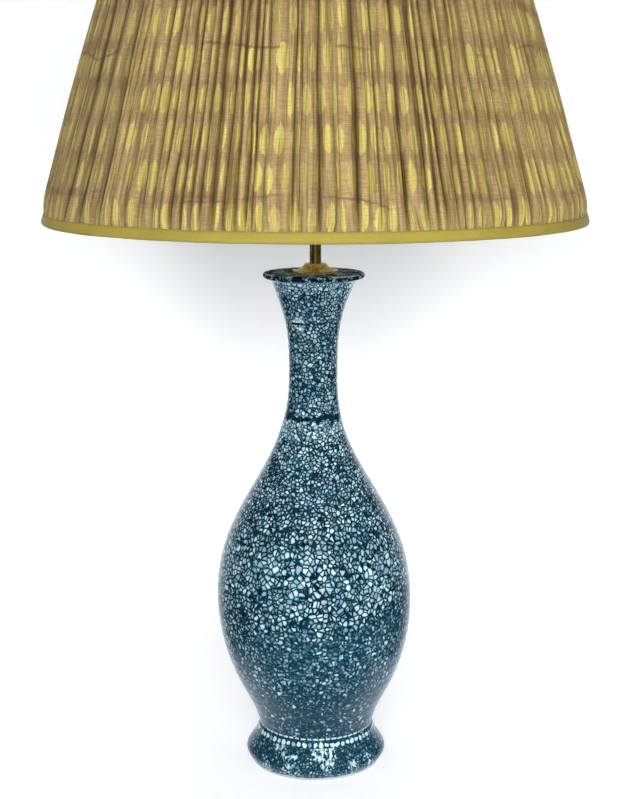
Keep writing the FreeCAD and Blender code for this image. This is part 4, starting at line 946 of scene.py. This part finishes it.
def gathered_cloth(cone):
    """The gathered cloth as points, with its flat places and how much painted shade each point gets
    for lying deep in a crease. Between two creases the cloth bulges as half a sine wave. Each crease wanders
    a little with height and is deep or shallow by chance, each fold's crest lies nearer to one of its
    creases, so one flank is steep, and its bulge swells and sinks along its height. The last grid
    is a random number for each fold, which sets its painted shade and dye."""
    draw = np.random.default_rng(11)
    edges, flatness = crease_angles(draw)
    widths = np.diff(edges)
    mean = widths.mean()
    rise = np.linspace(0, 1, CLOTH_ROWS)
    share = 0.6 * rise + 0.4 * (0.5 - 0.5 * np.cos(rise * math.pi))
    height = cone.low + (cone.high - cone.low) * share
    reach = np.clip(np.minimum((height - cone.hem_top) / 20.0, (cone.hem_bottom - height) / 24.0), 0, 1)
    full = np.sin(reach * math.pi / 2) ** 0.7
    creases = wandering_creases(draw, edges, share, full)

    # each crease's depth, and each fold's height, lean and swell
    shallow = draw.random(PLEATS) < 0.3
    deep = np.where(shallow, draw.uniform(0.2, 0.6, PLEATS), draw.uniform(0.85, 1.15, PLEATS))
    deep = np.append(deep, deep[0])
    tall = draw.uniform(0.85, 1.15, PLEATS) * (1 - flatness)
    lean = np.sign(draw.uniform(-1.0, 1.0, PLEATS)) * draw.uniform(0.15, 1.0, PLEATS) ** 0.7
    swell = 1 + 0.16 * np.sin(FULL_TURN * (1.3 * share[:, None] + draw.random(PLEATS)))

    # angles and radii, shaped heights by folds by points of a fold
    along = np.arange(POINTS_PER_PLEAT) / POINTS_PER_PLEAT
    bulge = np.sin(math.pi * along) ** 0.7
    crest_place = 0.5 + 0.24 * lean[None, :, None] * full[:, None, None]
    across = np.where(along < 0.5, 2 * crest_place * along, 1 - 2 * (1 - crest_place) * (1 - along))
    span = np.diff(creases, axis=1)[:, :, None]
    angle = (creases[:, :-1, None] + span * across).reshape(CLOTH_ROWS, -1)
    taut = 0.9 * np.sin(share * math.pi)[:, None, None]
    base = cone.radius(height)[:, None, None] - taut
    size = 0.53 * base * np.clip(widths, 0.7 * mean, 1.35 * mean)[None, :, None] * full[:, None, None]
    start, end = (size * (1 - side[None, :, None]) * 0.75 for side in (deep[:-1], deep[1:]))
    floor = start + (end - start) * along
    crest = np.maximum(size * (tall[None] * swell)[:, :, None], floor * 1.12)
    hem = 1.1 * (1 - full)[:, None, None] * (bulge - 0.45)
    radius = (base + floor + (crest - floor) * bulge + hem).reshape(CLOTH_ROWS, -1)

    # painted shade deep in each crease, the place on the flat cloth, and each fold's number, which sets its
    # own painted shade and dye
    strength = np.clip(deep[:-1, None] + (deep[1:, None] - deep[:-1, None]) * along, 0, 1)
    depth = (1 - bulge) ** (1.9 - 0.9 * strength) * (0.25 + 0.75 * strength)
    depth = np.broadcast_to(depth.reshape(1, -1), radius.shape) * (0.35 + 0.65 * full[:, None])
    flat_u = np.append((edges[:-1, None] + widths[:, None] * along).ravel(), edges[-1])
    flat_u = flat_u * cone.radius(cone.low) * GATHERING
    flat_v = (height - cone.low) * math.hypot(1, cone.slope)
    tone = np.broadcast_to(np.repeat(draw.random(PLEATS), POINTS_PER_PLEAT)[None], radius.shape)
    return carried_round(radius, angle, height[:, None]), flat_places(flat_u, flat_v), depth, tone


def silk_finish(shade):
    """Gathered silk: slub threads round the shade, resist-dyed lozenges in alternating rows with
    feathered ends, brown stains between the rows, fine upright wrinkles with painted shade in their
    hollows, painted shade deep in the creases, and painted shade and dye on some folds."""
    f = Finish("gathered_silk")
    flat = f.cloth_map()
    u, v, _ = f.parts(flat)
    slub = f.drawn_out(flat, (0.06, 1.3, 1.0), 4.0, 0.65)
    weave = f.drawn_out(flat, (1.6, 0.3, 1.0))
    streak = f.drawn_out(flat, (0.45, 0.016, 1.0), 3.0, 0.6)
    cloud = f.drawn_out(flat, (0.012, 0.04, 1.0), 3.0)
    ground = f.mix(f.step(slub, 0.34, 0.66), shade.cloth_dark, shade.cloth)
    ground = f.stained(ground, f.step(weave, 0.40, 0.7), 0.3, paint(212, 190, 142))
    ground = f.stained(ground, f.step(cloud, 0.46, 0.72), 0.45, paint(132, 106, 66))

    # lozenges: the cloth is ruled into rows, and every other row is shifted by half a motif
    wave = f.between(f.drawn_out(flat, (0.010, 0.01, 1.0)), -7.0, 7.0)
    level = f.over(f.plus(v, wave), shade.motif_height / MM)
    row = f.calc("FLOOR", level)
    half = f.times(f.calc("MODULO", row, 2.0), 0.5)
    column_place = f.plus(f.over(u, shade.motif_width / MM), half)
    column = f.calc("FLOOR", column_place)
    own, other, third, fourth = (f.random(f.join(column, row, seed)) for seed in (1.0, 2.0, 3.0, 4.0))
    across = f.minus(f.calc("FRACT", column_place), f.between(own, 0.38, 0.62))
    upward = f.minus(f.calc("FRACT", level), f.between(other, 0.46, 0.54))
    threads = f.random(f.join(f.calc("FLOOR", f.times(u, 1.3)), row, 5.0))
    frayed = f.drawn_out(flat, (0.5, 0.22, 1.0), 3.0, 0.6)
    away = f.over(f.unsigned(across), f.between(third, 0.23, 0.33))
    away = f.plus(away, f.swing(frayed, -0.14, 0.14))
    rising = f.over(f.unsigned(upward), f.between(own, 0.38, 0.46))
    rising = f.plus(rising, f.between(threads, -0.05, 0.10))
    allowed = f.minus(1.05, f.calc("POWER", f.unsigned(rising), 2.4))
    inside = f.step(f.minus(allowed, away), -0.10, 0.16)
    motif = f.times(inside, f.between(f.step(fourth, 0.0, 0.4), 0.5, 1.0))
    tone = f.mix(f.step(slub, 0.32, 0.68), shade.motif, shade.motif_light)
    tone = f.stained(tone, f.step(streak, 0.46, 0.62), f.between(other, 0.1, 0.8), paint(172, 148, 54))
    colour = f.mix(motif, ground, tone)

    # brown bands between some of the rows, and pulled threads along the weft
    shifted = f.plus(level, 0.5)
    border = f.unsigned(f.minus(f.calc("FRACT", shifted), 0.5))
    stained = f.step(f.drawn_out(flat, (0.006, 0.022, 1.0)), 0.42, 0.58)
    chosen = f.random(f.join(f.calc("FLOOR", shifted), 9.0, 0.0))
    chosen = f.between(f.step(chosen, 0.30, 0.55), 0.15, 1.0)
    patchy = f.step(f.drawn_out(flat, (0.12, 0.08, 1.0)), 0.38, 0.62)
    band = f.times(f.step(border, 0.17, 0.03), stained, chosen, patchy)
    colour = f.stained(colour, band, 0.6, paint(120, 90, 52))
    drift = f.swing(f.drawn_out(flat, (0.007, 0.004, 1.0)), -7.0, 7.0)
    quiver = f.swing(f.drawn_out(flat, (0.16, 0.01, 1.0)), -0.7, 0.7)
    broken = f.step(f.drawn_out(flat, (0.012, 0.02, 1.0)), 0.44, 0.60)
    for pitch, shift, strength, width in ((112.0, 30.0, 0.5, 1.3), (156.0, 95.0, 0.45, 1.1)):
        line = f.plus(v, shift, drift, quiver)
        line = f.minus(f.calc("MODULO", f.plus(line, pitch), pitch), pitch / 2)
        thin = f.step(f.unsigned(line), width, width * 0.2)
        colour = f.stained(colour, f.times(thin, broken), strength, paint(84, 62, 36))
    wrinkle = f.drawn_out(flat, (0.24, 0.010, 1.0), 3.0, 0.6)
    # painted shade in the hollows of the fine wrinkles
    colour = f.stained(colour, f.step(wrinkle, 0.52, 0.34), 0.6, paint(104, 78, 26))
    colour = f.stained(colour, f.step(streak, 0.50, 0.72), 0.3, paint(112, 86, 36))
    # each fold is darker by a random amount: painted shade, with some dye
    fold_shade_and_dye = f.step(f.attribute("fold_shade_and_dye"), 0.25, 1.0)
    colour = f.mix(f.between(fold_shade_and_dye, 0.0, 0.22), colour, paint(104, 80, 44))
    # painted shade deep in the creases
    colour = f.stained(colour, f.attribute("crease"), 0.93, paint(56, 38, 8))
    relief = f.plus(f.times(slub, 0.12), f.times(wrinkle, 3.0))
    return f.surface(
        Base_Color=colour,
        Roughness=f.swing(slub, 0.5, 0.66),
        Normal=f.bump(relief, 0.0012),
    )


class LAMP_OT_cover(bpy.types.Operator):
    """Gathers the silk over the shade's frame."""

    bl_idname = "lamp.cover"
    bl_label = "Gather the cover"

    def execute(self, context):
        shade = context.scene.lamp_shade
        points, flat, depth, tone = gathered_cloth(ShadeCone())
        cover = grid_mesh("shade_silk", points * MM, closed_columns=True, flat=flat * MM)
        # two numbers on the cloth for its colour: the painted shade deep in each crease, and each fold's
        # random painted shade and dye
        for name, values in (("crease", depth), ("fold_shade_and_dye", tone)):
            stored = cover.data.attributes.new(name, "FLOAT", "POINT")
            stored.data.foreach_set("value", values.ravel().astype(np.float32))
        thickened(cover, shade.cloth_thickness)
        finished(cover, [silk_finish(shade)], "shade", "shade_cover")
        return {"FINISHED"}


def trim_finish(shade):
    """Bias-cut silk band: fine diagonal weave with soft puckers."""
    f = Finish("trim_silk_band")
    flat = f.cloth_map()
    u, v, _ = f.parts(flat)
    slanted = f.join(f.plus(u, v), v)
    weave = f.drawn_out(slanted, (0.5, 2.6, 1.0), 3.0, 0.6)
    thread = f.drawn_out(slanted, (2.4, 0.5, 1.0))
    cloud = f.drawn_out(flat, (0.014, 0.04, 1.0))
    dark = dimmed(shade.trim, 0.62)
    colour = f.mix(f.swing(weave, 0.6, 1.0), dark, shade.trim)
    colour = f.stained(colour, f.step(thread, 0.45, 0.7), 0.2, paint(206, 190, 100))
    colour = f.stained(colour, f.step(cloud, 0.42, 0.66), 0.4, dark)
    return f.surface(
        Base_Color=colour,
        Specular_IOR_Level=0.05,
        Roughness=f.swing(weave, 0.40, 0.52),
        Normal=f.bump(f.plus(weave, thread), 0.0002, 0.5),
    )


def band_section(outer, edge, hem, fall, up):
    """A band's section, from the outer hem over the rolled edge to the inner hem: straight down,
    a quarter turn, flat across, a quarter turn and straight up. fall is how far the cone comes in
    from the edge to the hem. up is 1 for the band at the bottom and -1 for the one at the top."""
    inner = outer - BAND_DEPTH
    turn = np.linspace(0, math.pi / 2, 7)
    back = BAND_CURL - BAND_CURL * np.sin(turn)
    out = BAND_CURL * np.cos(turn)
    outside = np.stack([outer - BAND_CURL + out, edge + up * back], -1)
    inside = np.stack([inner + back, edge + up * (BAND_CURL - out)], -1)
    low = edge + up * (BAND_CURL + 1.0)
    section = [(outer - fall, hem), (outer, low), *outside, *inside, (inner, low), (inner - fall, hem)]
    return divided(np.array(section), 1.6)


def make_band(name, node, section, shade, seed):
    """A cloth band: the section carried round the axis, with a slight waver in and out."""
    angle = angles(480)
    lengths = np.concatenate(([0], np.cumsum(np.hypot(*np.diff(section, axis=0).T))))
    waver = 0.16 * ripple(angle[None], lengths[:, None] * 0.05, seed, (5, 9, 17, 26, 41))
    soft = 0.12 * ripple(angle[None], lengths[:, None] * 0.25, seed + 1, (60, 87, 131), 3.0)
    radius = section[:, :1] + waver + soft
    height = section[:, 1:] + 0.14 * ripple(angle[None], 0 * lengths[:, None], seed + 2, (4, 11, 23))
    points = carried_round(radius, angle, height)
    round_it = np.append(angle, FULL_TURN) * section[:, 0].max()
    flat = flat_places(round_it, lengths)
    band = grid_mesh(name, points * MM, closed_columns=True, flat=flat * MM, flip=True)
    thickened(band, BAND_CLOTH * MM)
    finished(band, [trim_finish(shade)], "shade", node)


class LAMP_OT_trims(bpy.types.Operator):
    """Rolls the silk bands round the shade's two edges."""

    bl_idname = "lamp.trims"
    bl_label = "Roll the trims"

    def execute(self, context):
        cone = ShadeCone()
        for name, node, radius, edge, start, hem, up, seed in (
            ("trim_bottom", "bottom_trim", cone.bottom_radius, cone.bottom, cone.low, cone.hem_top, 1, 21),
            ("trim_top", "top_trim", cone.top_radius, cone.top, cone.high, cone.hem_bottom, -1, 31),
        ):
            section = band_section(radius, edge, hem, cone.slope * (hem - start), up)
            make_band(name, node, section, context.scene.lamp_shade, seed)
        return {"FINISHED"}


def lining_finish(shade):
    """Plain weave of the lining, darker between its threads."""
    f = Finish("lining_weave")
    weave = f.drawn_out(f.cloth_map(), (0.25, 2.0, 1.0), 3.0)
    return f.surface(
        Base_Color=f.mix(f.step(weave, 0.35, 0.7), dimmed(shade.lining, 0.8), shade.lining),
        Roughness=0.75,
        Sheen_Weight=0.2,
        Normal=f.bump(weave, 0.0002, 0.4),
    )


class LAMP_OT_lining(bpy.types.Operator):
    """Stretches the plain lining inside the frame: a cone that is drawn in a little between the
    struts, most at half its height."""

    bl_idname = "lamp.lining"
    bl_label = "Stretch the lining"

    def execute(self, context):
        cone = ShadeCone()
        low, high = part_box("shade_lining")
        share = np.linspace(0, 1, 30)[:, None]
        height = (low.z + (high.z - low.z) * share) / MM
        start = high.x / MM
        angle = angles(360)
        hollow = np.sin(share * math.pi) * (0.5 + 0.5 * np.cos(STRUTS * angle + math.pi))
        radius = start - cone.slope * (height - low.z / MM) - 0.8 * hollow
        round_it = np.append(angle, FULL_TURN) * start
        flat = flat_places(round_it, (height - height[0])[:, 0])
        points = carried_round(radius, angle, height)
        lining = grid_mesh("lining_cloth", points * MM, closed_columns=True, flat=flat * MM)
        thickened(lining, LINING_CLOTH * MM)
        finished(lining, [lining_finish(context.scene.lamp_shade)], "shade", "shade_lining")
        slant = math.hypot(high.z - low.z, LINING_LEAN)
        area = math.pi * (start + cone.radius(cone.high) - LINING_INSET) * slant * MM
        return {"FINISHED"}


# Studio, in metres


# The camera that fits the photograph: its place, how far it looks down, its lens and its sensor
CAMERA_PLACE = (0.0039, -1.281, 0.5753)
CAMERA_DIP = 0.1905
CAMERA_LENS = 67.58
CAMERA_SENSOR = 36.0

# Soft boxes: name, place, the height on the lamp that it is aimed at, its side, the spread of its
# beam in degrees, and the setting that gives its power, with the share of it that is used
SOFT_BOXES = (
    ("key_light", (0.0, -2.1, 1.05), 0.40, 1.0, 180, "key", 1.0),
    ("right_light", (1.5, -1.3, 0.30), 0.14, 0.8, 60, "fill", 1.5),
    ("left_light", (-1.7, -1.2, 0.95), 0.66, 0.8, 60, "fill", 1.0),
)


class LAMP_OT_studio(bpy.types.Operator):
    """Sets the floor, the backdrop, the light and the camera at the photograph's viewing angle."""

    bl_idname = "lamp.studio"
    bl_label = "Set the studio"

    def execute(self, context):
        studio = context.scene.lamp_studio
        context.scene.view_settings.view_transform = "Standard"
        make_world(studio)
        make_backdrop()
        for name, place, aim, side, spread, setting, share in SOFT_BOXES:
            soft_box(name, place, (0, 0, aim), side, share * getattr(studio, setting), spread)
        lens = bpy.data.cameras.new("photo_camera")
        lens.sensor_width = CAMERA_SENSOR
        lens.lens = CAMERA_LENS
        lens.clip_start = 0.05
        lens.clip_end = 60.0
        camera = bpy.data.objects.new("photo_camera", lens)
        camera.location = CAMERA_PLACE
        camera.rotation_euler = (math.pi / 2 - CAMERA_DIP, 0.0, 0.0)
        context.scene.collection.objects.link(camera)
        context.scene.camera = camera
        return {"FINISHED"}


def make_world(studio):
    """The room: white where the camera or glass looks; gloss sees white behind and beside the
    lamp and a dark room in front of it; matt surfaces get the softer room light."""
    f = Finish("studio_world", "worlds")
    bpy.context.scene.world = f.owner
    path = f.node("ShaderNodeLightPath", {}).outputs
    glossy = path["Is Glossy Ray"]
    way = f.parts(f.node("ShaderNodeTexCoord", {}).outputs["Generated"])
    gloss = f.plus(f.step(way[1], 0.48, 0.92), f.between(f.step(way[2], 0.35, 0.85), 0.02, 0.14))
    seen = f.larger(path["Is Camera Ray"], path["Is Transmission Ray"])
    strength = f.larger(seen, f.times(glossy, f.calc("MINIMUM", gloss, 1.0)))
    matt = f.rest(f.larger(seen, glossy))
    strength = f.plus(strength, f.times(matt, studio.ambient))
    tint = f.mix(glossy, WHITE, (0.84, 0.91, 1.0, 1.0))
    f.ending(f.node("ShaderNodeBackground", {"Color": tint, "Strength": strength}), "ShaderNodeOutputWorld")


def make_backdrop():
    """A pale floor that sweeps up behind the lamp by a quarter turn of 250 mm and keeps its
    shadows, over a wide ground just below it."""
    turn = np.linspace(0, math.pi / 2, 16)
    bend = np.stack([0.30 + 0.25 * np.sin(turn), 0.25 - 0.25 * np.cos(turn)], -1)
    side = np.concatenate([[(-8.0, 0.0), (-2.0, 0.0), (0.0, 0.0)], bend, [(0.55, 2.2)]])
    across = np.linspace(-3.0, 3.0, 5)[None, :]
    sweep = grid_mesh("backdrop", np.stack(np.broadcast_arrays(across, side[:, :1], side[:, 1:]), -1))
    wide = np.array([[(-9, -9, -0.002), (9, -9, -0.002)], [(-9, 9, -0.002), (9, 9, -0.002)]], float)
    ground = grid_mesh("ground", wide)
    paper = paper_finish()
    for stage in (sweep, ground):
        stage.data.materials.append(paper)


def paper_finish():
    """Studio paper: white to the camera and through glass, and matt to the lamps, with a painted
    shadow behind the lamp where its glow is weaker. Its back can be looked through, so the lamp can be seen
    from behind as well."""
    f = Finish("studio_paper")
    path = f.node("ShaderNodeLightPath", {}).outputs
    glossy = path["Is Glossy Ray"]
    seen = f.larger(path["Is Camera Ray"], f.larger(glossy, path["Is Transmission Ray"]))
    x, y, height = f.parts(f.place())
    beside = f.unsigned(f.plus(x, 25.0))
    far = f.larger(beside, f.times(y, -1.0))
    # the glow is weaker above 240 mm of height and close to the lamp, a little left of it: a painted shadow
    # of the shade on the paper; far from the lamp it is stronger
    glow = f.plus(
        f.span(height, 240.0, 410.0, 0.44, 0.11),
        f.times(f.step(beside, 60.0, 240.0), 0.16),
        f.times(f.step(far, 900.0, 2400.0), 0.3),
    )
    paper = f.node("ShaderNodeBsdfPrincipled", {
        "Base Color": f.mix(glossy, paint(238, 240, 242), paint(214, 228, 246)),
        "Roughness": 0.9,
        "Specular IOR Level": 0.0,
        "Emission Color": f.mix(glossy, WHITE, (0.86, 0.92, 1.0, 1.0)),
        "Emission Strength": f.times(seen, glow),
    })

    # in gloss the paper is narrow and the floor in front is dim, as the lamp's own gloss shows it
    off_centre = f.unsigned(f.minus(x, f.span(height, 0.0, 250.0, 0.0, 50.0)))
    starts, ends = (f.span(height, 0.0, 250.0, *reach) for reach in ((70.0, 250.0), (260.0, 650.0)))
    narrow = f.step(off_centre, starts, ends)
    dim = f.times(glossy, f.larger(narrow, f.step(y, 20.0, -120.0)))
    back = f.node("ShaderNodeNewGeometry", {}).outputs["Backfacing"]
    clear = f.node("ShaderNodeBsdfTransparent", {})
    inputs = {0: f.larger(back, dim), 1: paper.outputs[0], 2: clear.outputs[0]}
    return f.ending(f.node("ShaderNodeMixShader", inputs))


def soft_box(name, place, target, side, power, spread):
    """A square soft light aimed at a point, its beam spread over so many degrees. Glossy
    surfaces don't mirror it."""
    light = bpy.data.lights.new(name, "AREA")
    light.shape = "RECTANGLE"
    light.size = light.size_y = side
    light.energy = power
    light.spread = math.radians(spread)
    box = bpy.data.objects.new(name, light)
    box.location = place
    box.rotation_euler = (Vector(target) - Vector(place)).to_track_quat("-Z", "Y").to_euler()
    box.visible_glossy = False
    bpy.context.scene.collection.objects.link(box)


OPERATORS = (
    LAMP_OT_vase,
    LAMP_OT_stem,
    LAMP_OT_fittings,
    LAMP_OT_baize,
    LAMP_OT_cover,
    LAMP_OT_trims,
    LAMP_OT_lining,
    LAMP_OT_studio,
)


class LAMP_PT_builder(bpy.types.Panel):
    """Lists the builders in the sidebar, in their order."""

    bl_label = "Crackle vase lamp"
    bl_idname = "LAMP_PT_builder"
    bl_space_type = "VIEW_3D"
    bl_region_type = "UI"
    bl_category = "Lamp"

    def draw(self, context):
        for operator in OPERATORS:
            self.layout.operator(operator.bl_idname)
        for name in SETTINGS:
            box = self.layout.box()
            group = getattr(context.scene, name)
            for key in group.bl_rna.properties.keys():
                if key not in ("rna_type", "name"):
                    box.prop(group, key)


CLASSES = (*SETTINGS.values(), *OPERATORS, LAMP_PT_builder)


def register():
    for each in CLASSES:
        bpy.utils.register_class(each)
    for name, group in SETTINGS.items():
        setattr(bpy.types.Scene, name, bpy.props.PointerProperty(type=group))


def unregister():
    for name in SETTINGS:
        delattr(bpy.types.Scene, name)
    for each in reversed(CLASSES):
        bpy.utils.unregister_class(each)


def main():
    register()
    for operator in OPERATORS:
        group, name = operator.bl_idname.split(".")
        getattr(getattr(bpy.ops, group), name)()


if __name__ == "__main__":
    main()
